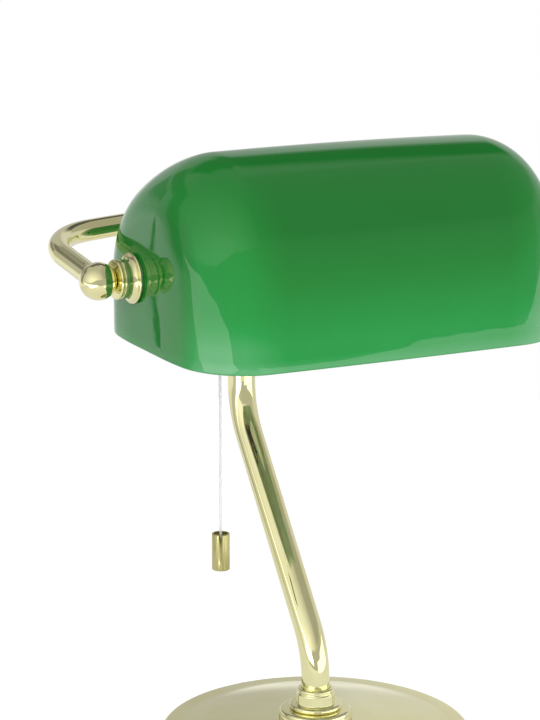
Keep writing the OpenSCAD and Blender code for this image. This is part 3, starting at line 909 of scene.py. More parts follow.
@dataclass
class Studio:
    """The camera, the pale floor, the lamps and the white surround."""

    aim: tuple[float, float, float] = (-29.8, -0.9, 232.0)
    distance: float = 1345.9
    azimuth: float = -28.4
    elevation: float = 12.2
    lens: float = 123.7
    sensor: float = 36.0
    clip_end: float = 50.0
    floor_radius: float = 900.0
    floor_sides: int = 144
    floor_depth: float = 0.05
    floor_glow: float = 0.5
    floor_gloss: float = 0.25
    ambient: float = 0.42
    surround: float = 0.55
    panels: tuple[Panel, ...] = (
        Panel(100, 0, 100, 60, 0.75, 10),
        Panel(62, 47, 110, 50, 0.45, 10),
        Panel(-58, 5, 90, 86, 1.15, 75),
        Panel(-56, 14, 38, 24, 1.2, 4),
        Panel(-100, -14, 70, 24, 0.6, 3),
        Panel(-52, -14.5, 38, 40, 0.6, 3, climb=0.53),
        Panel(14, -0.5, 96, 40, 0.55, 3, climb=0.1),
        Panel(140, 41, 40, 20, 0.1, 10),
        Panel(170, 50, 50, 24, 0.15, 10),
        Panel(-158, 29, 38, 15, 0.22, 6),
        Panel(-169, 13, 22, 10, 0.25, 5),
        Panel(-139, 14, 15, 46, 0.25, 6),
        Panel(-166, -20, 76, 44, 0.95, 8, lean=-1.4),
        Panel(-130, -31.5, 60, 42, 0.95, 3),
        Panel(-155, -7, 0.3, 14, 0.1, 0.1, lean=-0.22),
    )
    cards: tuple[Card, ...] = (
        Card(
            "near_card",
            (-100.0, -80.0),
            -75.0,
            400.0,
            ((-560, 260), (-300, 185), (-150, 155), (-90, 60), (420, 60), (330, 135), (225, 175), (60, 205)),
            (1.9, 3.0),
        ),
        Card(
            "front_card",
            (0.0, -85.0),
            32.0,
            400.0,
            (
                (-300, 5), (-300, 115), (-90, 120), (-50, 130), (-30, 152),
                (-20, 163), (10, 174), (65, 182), (500, 220), (500, 5),
            ),
            (1.9, 1.9),
        ),
    )
    lamps: tuple[Softbox, ...] = (
        Softbox("key_lamp", -45, 25, 1200, 700, 0.42),
        Softbox("fill_lamp", 40, 15, 1500, 900, 0.2),
        Softbox("left_back_lamp", -150, 30, 1500, 900, 0.08),
        Softbox("right_back_lamp", 125, 40, 1500, 900, 0.18),
    )

    def camera(self) -> None:
        """Sets the camera up on its aim."""
        lens = bpy.data.cameras.new("camera")
        lens.lens = self.lens
        lens.sensor_width = self.sensor
        lens.clip_end = self.clip_end
        made = add_object("camera", lens)
        self.aim_back(made, self.aim, from_angles(self.azimuth, self.elevation), self.distance)
        bpy.context.scene.camera = made

    def aim_back(self, made: Object, aim: Sequence[float], way: Vector, distance: float) -> None:
        """Sets a camera or lamp at a distance from its aim, and turns it towards it.

        Args:
            made: The camera or lamp.
            aim: What it points at, in millimetres.
            way: The direction from the aim to it.
            distance: How far it is, in millimetres.
        """
        made.location = (Vector(aim) + way * distance) * MM
        made.rotation_euler = way.to_track_quat("Z", "Y").to_euler()

    def sheet(self, name: str, corners: Sequence[Vector], paint: bpy.types.Material) -> Object:
        """Makes a flat sheet that belongs to the studio.

        Args:
            name: The sheet's name.
            corners: Its corners, in millimetres.
            paint: Its material.

        Returns:
            The sheet.
        """
        mesh = bpy.data.meshes.new(name)
        mesh.from_pydata([p * MM for p in corners], [], [tuple(range(len(corners)))])
        mesh.materials.append(paint)
        made = add_object(name, mesh)
        return made

    def floor(self) -> None:
        """Lays the pale floor, which keeps the lamp's soft shadow."""
        look = {
            "Base Color": linear("#e9e9e9"),
            "Roughness": 0.9,
            "Specular IOR Level": 0.0,
            "Emission Color": linear(WHITE),
        }
        paint, tree, shader = new_material("studio_floor", look)
        clear, gloss = shown_rays(tree)
        direct = add_node(tree, "Math", {0: clear, 1: self.floor_glow}, operation="MULTIPLY")[0]
        both = {0: gloss, 1: self.floor_gloss, 2: direct}
        glow = add_node(tree, "Math", both, operation="MULTIPLY_ADD")[0]
        tree.links.new(glow, shader.inputs["Emission Strength"])
        sides = self.floor_sides
        rim = arc((0, 0), self.floor_radius, 0, 360 - 360 / sides, sides - 1)
        self.sheet("floor", [Vector((x, y, -self.floor_depth)) for x, y in rim], paint)

    def world(self) -> None:
        """Makes the surround: white behind the lamp, soft light on it, and panels in its reflections."""
        world = bpy.data.worlds.new("studio")
        world.use_nodes = True
        tree = world.node_tree
        tree.nodes.clear()
        axes = add_node(tree, "SeparateXYZ", {0: add_node(tree, "TexCoord")["Generated"]})
        back = add_node(tree, "Math", {0: axes["Y"], 1: -1.0}, operation="MULTIPLY")[0]
        turn = add_node(tree, "Math", {0: axes["X"], 1: back}, operation="ARCTAN2")[0]
        rise = add_node(tree, "Math", {0: axes["Z"]}, operation="ARCSINE")[0]
        azimuth, elevation = (add_node(tree, "Math", {0: a}, operation="DEGREES")[0] for a in (turn, rise))
        level: float | Socket = self.surround
        for panel in self.panels:
            mix = {0: panel.mask(tree, azimuth, elevation), 2: level, 3: panel.level}
            level = add_node(tree, "Mix", mix, data_type="FLOAT")[0]
        clear, gloss = shown_rays(tree)
        lit = add_node(tree, "Mix", {0: gloss, 2: self.ambient, 3: level}, data_type="FLOAT")[0]
        strength = add_node(tree, "Mix", {0: clear, 2: lit, 3: 1.0}, data_type="FLOAT")[0]
        glow = add_node(tree, "Background", {"Color": linear(WHITE), "Strength": strength})[0]
        add_node(tree, "OutputWorld", {"Surface": glow})
        bpy.context.scene.world = world

    def card(self, card: Card) -> None:
        """Stands a card that only shows in gloss, facing the lamp.

        Args:
            card: The card.
        """
        paint, tree, _ = new_material(card.name, {})
        tree.nodes.clear()
        height = add_node(tree, "SeparateXYZ", {0: add_node(tree, "TexCoord")["Object"]})["Z"]
        limits = dict(zip(SPAN, (*(h * MM for h in card.heights), *card.levels)))
        level = add_node(tree, "MapRange", {"Value": height, **limits})["Result"]
        glow = add_node(tree, "Emission", {"Color": linear(WHITE), "Strength": level})[0]
        add_node(tree, "OutputMaterial", {"Surface": glow})
        foot = Vector((*card.corner, 0)) + from_angles(card.azimuth, 0) * card.distance
        across = from_angles(card.azimuth + 90, 0)
        corners = [foot + across * reach + Vector((0, 0, rise)) for reach, rise in card.outline]
        made = self.sheet(card.name, corners, paint)
        for ray in ("camera", "diffuse", "transmission", "shadow"):
            setattr(made, f"visible_{ray}", False)

    def lamp(self, box: Softbox) -> None:
        """Hangs a soft lamp, with the power that lights white to its level at its aim.

        Args:
            box: The lamp.
        """
        light = bpy.data.lights.new(box.name, "AREA")
        light.shape = "SQUARE"
        light.size = box.size * MM
        light.energy = box.level * (math.pi * box.distance * MM) ** 2
        made = add_object(box.name, light)
        self.aim_back(made, box.aim, from_angles(box.azimuth, box.elevation), box.distance)
        made.visible_glossy = False

    def build(self) -> None:
        """Builds the studio."""
        self.camera()
        self.floor()
        self.world()
        for card in self.cards:
            self.card(card)
        for box in self.lamps:
            self.lamp(box)
        bpy.context.scene.view_settings.view_transform = "Standard"


# ---- pull ----


@dataclass
class Pull(SubAssembly):
    """The switch's pull: a white cord from the lampholder's bush to a brushed brass weight."""

    body: ClassVar[Body] = Body.PULL
    cord: float = 1.5
    cord_sides: int = 24
    cord_step: float = 0.7
    strands: int = 3
    strand_depth: float = 0.16
    lay: float = 5.0
    exit_height: float = 258.0
    waypoints: tuple[float, ...] = (245.0, 210.0, 175.0)
    top: float = 278.0
    foot: float = 128.5
    weight: float = 9.8
    weight_length: float = 20.5
    recess: float = 3.0
    web: float = 8.0
    notch: float = 1.6
    notch_depth: float = 2.2
    notch_angle: float = -120.0
    knot: float = 5.0
    knot_steps: int = 96
    pull_tight: float = 0.92

    def axis(self) -> Vector:
        """The cord's axis at the table's height."""
        centre = middle("pull_weight")
        return Vector((centre.x, centre.y, 0))

    def route(self) -> list[Vector]:
        """The points that the cord follows, in millimetres."""
        return [self.axis() + Vector((0, 0, height)) for height in (self.top, *self.waypoints, self.foot)]

    def make_cord(self) -> Object:
        """Twists the cord from its strands along its route.

        Returns:
            The cord.
        """
        axis = self.axis()
        steps = math.ceil((self.top - self.foot) / self.cord_step)
        points = []
        for ring in range(steps + 1):
            height = self.top + (self.foot - self.top) * ring / steps
            for s in range(self.cord_sides):
                angle = 2 * math.pi * s / self.cord_sides
                lobe = abs(math.cos(self.strands / 2 * (angle - 2 * math.pi * height / self.lay)))
                reach = self.cord / 2 * (1 - self.strand_depth + self.strand_depth * lobe)
                points.append((axis.x + reach * math.cos(angle), axis.y + reach * math.sin(angle), height))
        faces = bands(steps + 1, self.cord_sides, True)
        made = mesh_object("switch_cord", points, faces, [WHITE_CORD], crease=80)
        return self.fit(made, WHITE_CORD, "pull_cord")

    def make_weight(self) -> Object:
        """Turns the brass weight, hollow at both ends, with the slot that lets the cord in.

        Returns:
            The weight.
        """
        outer, bore, length = self.weight / 2, self.cord / 2 + 0.3, self.weight_length
        floor = length - self.recess
        corners = [
            (outer - 1.5, 0, 0.3), (outer, 0, 0.5), (outer, length, 0.5), (outer - 1.2, length, 0.3),
            (outer - 1.2, floor, 0.6), (bore, floor, 0.3),
            (bore, floor - self.web, 0.3), (outer - 1.5, floor - self.web, 0.6),
        ]
        place = self.place("pull_weight")
        made = turned("switch_pull", eased(corners), BRUSHED_BRASS, place)
        width, low = self.notch / 2, length - self.notch_depth
        box = [(x, y, z) for x in (3.0, 7.0) for y in (-width, width) for z in (low, length + 2)]
        sides = [(0, 1, 3, 2), (4, 6, 7, 5), (0, 4, 5, 1), (2, 3, 7, 6), (0, 2, 6, 4), (1, 5, 7, 3)]
        turn = Matrix.Rotation(math.radians(self.notch_angle), 4, "Z")
        cut(made, mesh_object("slot_cutter", box, sides, [BRUSHED_BRASS], place @ turn))
        return self.fit(made, BRUSHED_BRASS, "pull_weight")

    def make_knot(self) -> Object:
        """Ties the overhand knot that the weight hangs on.

        Returns:
            The knot.
        """
        centre = middle("pull_knot")
        size = (self.knot - self.cord) / 2 / 3
        line = []
        for i in range(self.knot_steps + 1):
            t = 2 * math.pi * i / self.knot_steps
            x = size * (math.sin(t) + 2 * math.sin(2 * t))
            y = size * (math.cos(t) - 2 * math.cos(2 * t))
            line.append(centre + Vector((x, y, -size * 1.6 * math.sin(3 * t))))
        made = swept("cord_knot", line, [self.cord / 2 * self.pull_tight], WHITE_CORD, 16)
        return self.fit(made, WHITE_CORD, "pull_knot")

    def make_stop(self) -> Object:
        """Turns the crimped stop at the cord's upper end.

        Returns:
            The stop.
        """
        size = extent("cord_stop")
        outer, length = size.x / 2, size.z
        corners = [(0, 0), (outer, 0, 0.5), (outer, length, 0.5), (0, length)]
        return self.turn("cord_crimp", "cord_stop", eased(corners), ZINC_STEEL, 48)

    def build(self) -> None:
        """Builds the pull's cord, weight, knot and stop."""
        cord, weight, knot, stop = self.make_cord(), self.make_weight(), self.make_knot(), self.make_stop()
        tuple((self.axis() + Vector((0, 0, self.exit_height))) * MM)
        [tuple(p * MM) for p in self.route()]


# ---- shade ----


@dataclass
class GlassShade(SubAssembly):
    """The cased glass shade: green outside, white inside, open below, with a rounded rim."""

    body: ClassVar[Body] = Body.SHADE
    wall: float = 4.0
    casing: float = 1.1
    back: float = 57.0
    top: float = 68.0
    rim_drop: float = 36.5
    rim_slope: float = 2.0
    shoulder_radius: float = 60.0
    shoulder_angle: float = 60.0
    crown_radius: float = 150.0
    crown_angle: float = 78.0
    corner_radius: float = 36.0
    end_dome_radius: float = 200.0
    barrel_sag: float = 0.8
    flat_margin: float = 2.0
    hole: float = 13.0
    drill_in: float = 9.0
    drill_out: float = 4.0
    rim_round: float = 1.2
    crease: float = 50.0

    def __post_init__(self) -> None:
        """Works out the tangent arcs from the driving sizes."""
        size = extent("shade_glass")
        self.pivot = middle("left_ball")
        self.length, self.depth = size.x, size.y
        steep, shallow = math.radians(self.crown_angle), math.radians(self.shoulder_angle)
        step = self.shoulder_radius - self.crown_radius
        reach = self.depth - self.shoulder_radius + step * math.cos(shallow)
        self.front_radius = (reach + self.crown_radius * math.cos(steep)) / (1 + math.cos(steep))
        drop = step * math.sin(shallow) + (self.crown_radius - self.front_radius) * math.sin(steep)
        self.shoulder = Vector((self.back - self.shoulder_radius, self.top - self.front_radius - drop))
        self.crown = self.shoulder + step * Vector((math.cos(shallow), math.sin(shallow)))
        rest = self.crown_radius - self.front_radius
        self.front = self.crown + rest * Vector((math.cos(steep), math.sin(steep)))

    def rim(self, y: float) -> float:
        """The height of the sloping rim above the pivot, at the distance y behind it."""
        return -self.rim_drop + y * math.tan(math.radians(self.rim_slope))

    def outline(self, inset: float) -> list[Point]:
        """Draws the glass's outline from the back of the rim to its front.

        Args:
            inset: How far it is moved inwards.

        Returns:
            The distance behind the pivot and the height above it of each point.
        """
        back, front = self.back - inset, self.back - self.depth + inset
        walls = [self.rim(back) + self.rim_round, self.rim(front) + self.rim_round]
        rise = [(back, walls[0] + (self.shoulder.y - walls[0]) * i / 8) for i in range(8)]
        fall = [(front, self.front.y + (walls[1] - self.front.y) * i / 10) for i in range(1, 11)]
        shoulder = arc(tuple(self.shoulder), self.shoulder_radius - inset, 0, self.shoulder_angle, 24)
        crown = arc(tuple(self.crown), self.crown_radius - inset, self.shoulder_angle, self.crown_angle, 10)
        brow = arc(tuple(self.front), self.front_radius - inset, self.crown_angle, 180, 40)
        return rise + shoulder + crown[1:-1] + brow + fall

    def stations(self, skin: float) -> list[Point]:
        """Sets out the cross-sections that the glass is lofted through.

        Args:
            skin: How far inside the outer face they lie.

        Returns:
            How far each is moved inwards, and its distance from the shade's middle.
        """
        flat_inset = min(self.shoulder_radius, self.front_radius) - self.flat_margin
        edge_inset = self.corner_radius + self.barrel_sag
        rest = self.end_dome_radius - self.corner_radius
        dome = math.degrees(math.asin((flat_inset - edge_inset) / rest))
        dome_x = self.length / 2 - self.end_dome_radius
        edge_x = dome_x + rest * math.cos(math.radians(dome))
        barrel = self.corner_radius + self.barrel_sag / 2 + edge_x * edge_x / (2 * self.barrel_sag)
        sweep = math.degrees(math.asin(edge_x / (barrel - self.corner_radius)))
        half = arc((barrel, 0), barrel - skin, 180, 180 - sweep, 12)
        half += arc((edge_inset, edge_x), self.corner_radius - skin, 180 - sweep, 90 + dome, 28)[1:]
        half += arc((flat_inset, dome_x), self.end_dome_radius - skin, 90 + dome, 90, 10)[1:]
        return [(inset, -x) for inset, x in reversed(half[1:])] + half

    def shell(self) -> Object:
        """Lofts the shell: outer face, inner face and the rounded rim between them.

        Returns:
            The shell, in green glass as deep as the casing and in white glass inside it.
        """
        rows, columns = len(self.stations(0.0)), len(self.outline(0.0))
        points: list[Corner] = []
        faces: list[Face] = []
        zones: list[int] = []
        for layer, skin in enumerate((0.0, self.wall)):
            start = len(points)
            for inset, x in self.stations(skin):
                points += [(x, y, z) for y, z in self.outline(inset)]
            for here in range(start, start + (rows - 1) * columns, columns):
                faces += [(i, i + columns, i + columns + 1, i + 1) for i in range(here, here + columns - 1)]
            faces += [tuple(range(end, end + columns)) for end in (start, len(points) - columns)]
            zones += [layer] * (len(faces) - len(zones))
        loop = [(row, 0) for row in range(rows)] + [(row, columns - 1) for row in reversed(range(rows))]
        outer_ring = [row * columns + column for row, column in loop]
        turns = arc((0, 0), self.rim_round, 0, 90, 5)[1:]
        profile = [(self.rim_round - c, s) for c, s in turns]
        profile += [(self.wall - self.rim_round + c, s) for c, s in reversed(turns)]
        rings = [outer_ring]
        for skin, drop in profile:
            cells = self.stations(skin)
            rings.append(list(range(len(points), len(points) + len(loop))))
            for row, column in loop:
                inset, x = cells[row]
                y = self.back - inset if column == 0 else self.back - self.depth + inset
                points.append((x, y, self.rim(y) + self.rim_round - drop))
        rings.append([i + rows * columns for i in outer_ring])
        skins = [0.0, *(skin for skin, _ in profile), self.wall]
        for k, (ring, after) in enumerate(zip(rings, rings[1:])):
            faces += [(ring[i - 1], ring[i], after[i], after[i - 1]) for i in range(1, len(loop))]
            faces.append((ring[-1], ring[0], after[0], after[-1]))
            zones += [0 if (skins[k] + skins[k + 1]) / 2 < self.casing else 1] * len(loop)
        place = Matrix.Translation(Vector((0, self.pivot.y, self.pivot.z)))
        green = replace(
            GREEN_GLASS,
            pivot_y=self.pivot.y,
            rim_z=self.pivot.z - self.rim_drop,
            rim_slope=self.rim_slope,
            half_length=self.length / 2,
        )
        return mesh_object("glass_shade", points, faces, [green, OPAL_GLASS], place, zones, self.crease)

    def drill(self, shell: Object) -> None:
        """Bores the two pivot holes and keeps the blown surface's smooth shading.

        Args:
            shell: The shell.
        """
        blown = add_object("blown_surface", shell.data.copy())
        radius, start, end = self.hole / 2, self.length / 2 - self.drill_in, self.length / 2 + self.drill_out
        for side in Side:
            corners = [(0, start), (radius, start), (radius, end), (0, end)]
            place = along(Vector((0, self.pivot.y, self.pivot.z)), Vector((side.value, 0, 0)))
            cut(shell, turned("hole_cutter", corners, OPAL_GLASS, place, 64))
        smooth(shell.data, self.crease)
        carry = shell.modifiers.new("smooth", "DATA_TRANSFER")
        carry.object = blown
        carry.use_loop_data = True
        carry.data_types_loops = {"CUSTOM_NORMAL"}
        carry.loop_mapping = "POLYINTERP_NEAREST"
        apply_modifiers(shell)
        bpy.data.objects.remove(blown)

    def build(self) -> None:
        """Builds the glass and the bushes that it turns on."""
        shell = self.shell()
        self.drill(shell)
        self.fit(shell, GREEN_GLASS, "shade_glass")
        for side in Side:
            self.ring(side.label("nylon_bush"), side.label("bush"), NYLON, 0.4)


# ---- pivots ----


@dataclass
class Pivot(SubAssembly):
    """One end of the shade's pivot: ball, collar, flange, washers, nipple and locknut."""

    side: Side
    ball: float = 20.0
    nipple: float = 10.0
    nipple_bore: float = 7.0
    fit_gap: float = 0.05
    thread: float = 1.0
    thread_depth: float = 0.3
    locknut: float = 16.0

    def place(self, node: str) -> Matrix:
        """Sets a piece's Z axis on the pivot axis, outwards, from its node's inner end.

        Args:
            node: The piece's node.

        Returns:
            Where the piece goes, in millimetres.
        """
        low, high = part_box(node)
        inner = (low.x if self.side is Side.RIGHT else high.x) / MM
        pivot = middle("left_collar")
        return along(Vector((inner, pivot.y, pivot.z)), Vector((self.side.value, 0, 0)))

    def label(self, name: str) -> str:
        """The name with its side in front."""
        return self.side.label(name)

    def size(self, node: str) -> tuple[float, float]:
        """A piece's outer radius and its length along the axis."""
        box = extent(self.label(node))
        return box.z / 2, box.x

    def make_ball(self) -> None:
        """Turns the ball with the flat seat that meets the collar."""
        radius = self.ball / 2
        flat = math.sqrt(radius**2 - (self.nipple / 2) ** 2)
        start = -math.degrees(math.asin(flat / radius))
        self.turn("ball_end", "ball", [(0, 0)] + arc((0, flat), radius, start, 90, 48), POLISHED_BRASS, 128)

    def make_collar(self) -> None:
        """Turns the collar: a wide drum, a shallow groove and a rounded bead on the ball's side."""
        outer, length = self.size("collar")
        bore = self.nipple / 2 + self.fit_gap
        drum, neck, end = outer - 0.3, outer - 1.0, length - 1.2
        outline = eased([(bore, 0), (drum, 0, 0.25), (drum, length - 2.8, 0.4), (neck, length - 2.7, 0.1)], 5)
        outline += arc((neck, end), 1.0, -90, 90, 16)
        outline += eased([(neck - 0.5, length - 0.15), (outer - 2.6, length, 0.1), (bore, length)], 3)
        self.turn("pivot_collar", "collar", outline, POLISHED_BRASS, 128)

    def make_flange(self) -> None:
        """Turns the flange: a disc with a round rim that flares up to the collar in a hollow curve."""
        outer, thick = self.size("flange")
        bore = self.nipple / 2 + self.fit_gap
        drum = self.size("collar")[0] - 0.3
        rim, flare = 0.8, thick - 1.8
        outline = [(bore, 0), (outer - rim, 0)]
        outline += arc((outer - rim, 1.0), rim, -90, 88, 14)
        outline += arc((drum + flare, thick), flare, 262, 180, 18)
        outline += [(bore, thick)]
        self.turn("pivot_flange", "flange", outline, POLISHED_BRASS, 128)

    def make_nipple(self) -> None:
        """Cuts the threaded nipple that carries the glass."""
        length = self.size("nipple")[1]
        radius, bore = self.nipple / 2, self.nipple_bore / 2
        count = math.ceil(length / self.thread * 6)
        outline = [(radius, length * i / count) for i in range(count + 1)]
        outline += [(bore, length), (bore, 0)]

        def crest(reach: float, height: float, angle: float) -> float:
            """The thread's radius."""
            wave = 0.5 + 0.5 * math.cos(2 * math.pi * height / self.thread - angle)
            return reach if reach < radius else radius - self.thread_depth * wave

        self.turn("threaded_nipple", "nipple", outline, SATIN_BRASS, 48, radius_at=crest)

    def make_locknut(self) -> None:
        """Cuts the hexagon locknut with its round flange on the glass's side."""
        flange, thick = self.size("locknut")
        half, bore = self.locknut / 2, self.nipple / 2 + self.fit_gap
        corner = half / math.cos(math.radians(30))
        outline = [(bore + 0.6, 0), (half * 0.96, 0), (corner, 0.9), (corner, thick - 1.2)]
        outline += [(flange - 0.3, thick - 1.2), (flange, thick - 0.9), (flange, thick - 0.1), (bore, thick)]
        outline += [(bore, 0.6)]

        def flats(reach: float, height: float, angle: float) -> float:
            """The radius of the six flats, or of the round parts inside them and of the flange."""
            off = (angle + math.pi / 6) % (math.pi / 3) - math.pi / 6
            return reach if height > thick - 1.15 else min(reach, half / math.cos(off))

        self.turn("hex_locknut", "locknut", outline, SATIN_BRASS, 96, radius_at=flats)

    def build(self) -> None:
        """Builds this end's pieces."""
        self.make_ball()
        self.make_collar()
        self.make_flange()
        self.make_nipple()
        self.make_locknut()
        self.ring("nylon_washer", "washer", NYLON, 0.2)
        self.ring("rubber_seal", "seal", BLACK_RUBBER, 0.4)


# ---- yoke and stem ----


@dataclass
class Yoke(SubAssembly):
    """The bent brass tube between the two balls, and the tee that sets it on the stem."""

    tube: float = 12.0
    wall: float = 1.2
    reach: float = 94.5
    tilt: float = 9.0
    corner: float = 41.0
    bow: float = 420.0
    seat: float = 5.6
    tee: float = 18.0
    tee_length: float = 30.0
    socket: float = 21.0
    ball: float = 20.0

    def plane(self) -> Matrix:
        """Finds the yoke's tilted plane, with the pivot axis as its X axis.

        Returns:
            The plane, in millimetres.
        """
        pivot = middle("left_collar")
        turn = Matrix.Rotation(math.radians(self.tilt), 4, "X")
        return Matrix.Translation(Vector((0, pivot.y, pivot.z))) @ turn

    def centre(self) -> Vector:
        """The middle of the tee, where the stem meets the crossbar."""
        return self.plane() @ Vector((0, self.reach, 0))

    def make_tube(self) -> None:
        """Bends the tube: arm, corner, bowed crossbar, corner and arm."""
        ball_x = -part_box("left_ball")[0].x / MM - self.ball / 2
        swing = math.asin((ball_x - self.corner) / (self.bow - self.corner))
        arm = self.reach - self.bow + (self.bow - self.corner) * math.cos(swing)
        quarter = 90 - math.degrees(swing)
        route = Route(Vector((-ball_x, self.seat)), math.pi / 2)
        route.run(arm - self.seat).bend(self.corner, -quarter).bend(self.bow, -2 * math.degrees(swing), 0.5)
        route.bend(self.corner, -quarter).run(arm - self.seat)
        plane = self.plane()
        line = [plane @ Vector((p.x, p.y, 0)) for p in route.points]
        made = swept("yoke_arms", line, [self.tube / 2, self.tube / 2 - self.wall], POLISHED_BRASS, 64)
        self.fit(made, POLISHED_BRASS, "yoke_tube")

    def make_tee(self) -> None:
        """Turns the tee's sleeve and socket and brazes them into one."""
        centre = self.centre()
        half, outer = self.tee_length / 2, self.tee / 2
        sleeve = [(0, -half), (outer, -half, 1.2), (outer, half, 1.2), (0, half)]
        made = turned("yoke_tee_sleeve", eased(sleeve), POLISHED_BRASS, along(centre, Vector((1, 0, 0))), 96)
        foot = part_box("yoke_tee")[0].z / MM - centre.z
        radius = self.socket / 2
        cap = arc((0, 0), radius, 0, 90, 16)
        socket = eased([(0, foot), (radius, foot, 1.0), (radius, foot + 4)]) + cap
        cut(made, turned("socket", socket, POLISHED_BRASS, Matrix.Translation(centre), 96), "UNION")
        smooth(made.data, 40)
        self.fit(made, POLISHED_BRASS, "yoke_tee")

    def build(self) -> None:
        """Builds the yoke and its tee."""
        self.make_tube()
        self.make_tee()


@dataclass
class Stem(SubAssembly):
    """The leaning brass tube, bent twice, with its turned foot collar."""

    top: Vector
    tube: float = 16.0
    wall: float = 1.2
    bend: float = 55.0
    bend_drop: float = 102.0
    foot: float = 2.4
    collar: float = 30.0

    def make_tube(self) -> None:
        """Bends the stem's tube in the lamp's middle plane."""
        low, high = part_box("stem_tube")
        start, end = low.z / MM, high.z / MM
        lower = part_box("stem_collar")[1].z / MM + self.foot
        rise = middle("left_collar").z - self.bend_drop - lower
        offset = self.top.y
        lean = 2 * math.atan(offset / (rise + math.sqrt(rise**2 + offset * (offset - 2 * self.bend))))
        tangent = self.bend * math.tan(lean / 2)
        angle = math.degrees(lean)
        route = Route(Vector((0, start)), math.pi / 2)
        route.run(lower - start).bend(self.bend, -angle)
        route.run(offset / math.sin(lean) - 2 * tangent).bend(self.bend, angle)
        route.run(end - lower - rise - tangent)
        line = [Vector((0, p.x, p.y)) for p in route.points]
        made = swept("stem", line, [self.tube / 2, self.tube / 2 - self.wall], POLISHED_BRASS, 64)
        self.fit(made, POLISHED_BRASS, "stem_tube")

    def make_collar(self) -> None:
        """Turns the foot collar with its bead and its upper lip."""
        low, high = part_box("stem_collar")
        height = (high.z - low.z) / MM
        outer, bore = self.collar / 2, self.tube / 2 + 0.05
        corners = [
            (bore, 0), (outer, 0, 1.2), (outer, 3, 1.4), (outer - 3.8, 3.2, 0.5),
            (outer - 4.2, height - 3.4, 0.8), (bore + 2.2, height - 2.4, 0.4),
            (bore + 2.2, height, 1.1), (bore, height, 0.3),
        ]
        self.turn("foot_collar", "stem_collar", eased(corners), POLISHED_BRASS, 128)

    def build(self) -> None:
        """Builds the stem and its collar."""
        self.make_tube()
        self.make_collar()


# ---- base ----


@dataclass
class Base(SubAssembly):
    """The weighted base's spun brass cover, felt pad and rubber grommet."""

    sheet: float = 1.2
    band: float = 14.0
    band_edge: float = 3.0
    ledge: float = 11.0
    dome: float = 22.0
    boss: float = 40.0
    bore: float = 10.1
    grommet_bore: float = 6.2

    def make_cover(self) -> None:
        """Spins the cover: upright band, ledge, low dome and boss."""
        low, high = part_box("base_cover")
        top = high.z / MM - low.z / MM
        radius = high.x / MM
        shoulder = radius - self.ledge
        rise = self.dome - self.band
        sphere = (shoulder**2 + rise**2) / (2 * rise)
        edge = math.degrees(math.acos(shoulder / sphere))
        hub = math.degrees(math.acos((self.boss / 2 + 1) / sphere))

        def skin(inset: float) -> list[Corner]:
            """Draws the outside.

            Args:
                inset: How far it is moved inwards.

            Returns:
                The outline's corners.
            """
            arcs = arc((0, self.dome - sphere), sphere - inset, edge + 0.4, hub, 24)
            return [
                (radius - inset, 0),
                (radius - inset, self.band - inset, self.band_edge - inset),
                (shoulder - inset + 0.8, self.band - inset, 0.6 + inset / 2),
                *arcs,
                (self.boss / 2 - inset, top - inset, 1.6 - inset / 2),
            ]

        outline = eased(skin(0) + [(self.bore / 2, top), (self.bore / 2, top - self.sheet)])
        outline += eased(skin(self.sheet))[::-1]
        self.turn("base_cover_spun", "base_cover", outline, POLISHED_BRASS, 192)

    def make_pad(self) -> None:
        """Cuts the felt pad."""
        size = extent("base_pad")
        corners = [(0, 0), (size.x / 2, 0, 0.3), (size.x / 2, size.z, 0.5), (0, size.z)]
        made = turned("felt_pad", eased(corners), GREEN_FELT, Matrix.Identity(4), 128)
        self.fit(made, GREEN_FELT, "base_pad")

    def make_grommet(self) -> None:
        """Moulds the rubber grommet that the mains cord would leave by."""
        size = extent("cable_bush")
        bore, lip = self.grommet_bore / 2, size.x / 2
        corners = [
            (bore, 0, 0.4), (bore + 1.5, 0, 0.4), (bore + 1.5, 1.4, 0.2), (bore + 1.15, 1.4),
            (bore + 1.15, size.y - 1.8), (lip, size.y - 1.8, 0.4), (lip, size.y, 0.9), (bore, size.y, 0.6),
        ]
        inner_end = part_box("cable_bush")[0].y / MM
        place = along(Vector((0, inner_end, middle("cable_bush").z)), Vector((0, 1, 0)))
        self.fit(turned("cord_grommet", eased(corners), BLACK_RUBBER, place, 64), BLACK_RUBBER, "cable_bush")

    def build(self) -> None:
        """Builds the base's pieces."""
        self.make_cover()
        self.make_pad()
        self.make_grommet()


# ---- lampholder and bulb ----


@dataclass
class Screw:
    """The round thread of an E27 screw shell: its pitch and depth."""

    pitch: float = 3.6
    depth: float = 0.55

    def wave(self, height: float, angle: float) -> float:
        """How far the thread lies in from its crest, from 0 to its depth."""
        return self.depth * (0.5 + 0.5 * math.cos(2 * math.pi * height / self.pitch - angle))


@dataclass
class HolderPieces(SubAssembly):
    """Pieces on the lampholder's axis, which runs from the left pivot into the shade."""

    screw: Screw = field(default_factory=Screw)

    def place(self, node: str) -> Matrix:
        """Sets a piece's Z axis on the lampholder's axis, from its node's left end."""
        pivot = middle("left_collar")
        return along(Vector((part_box(node)[0].x / MM, pivot.y, pivot.z)), Vector((1, 0, 0)))


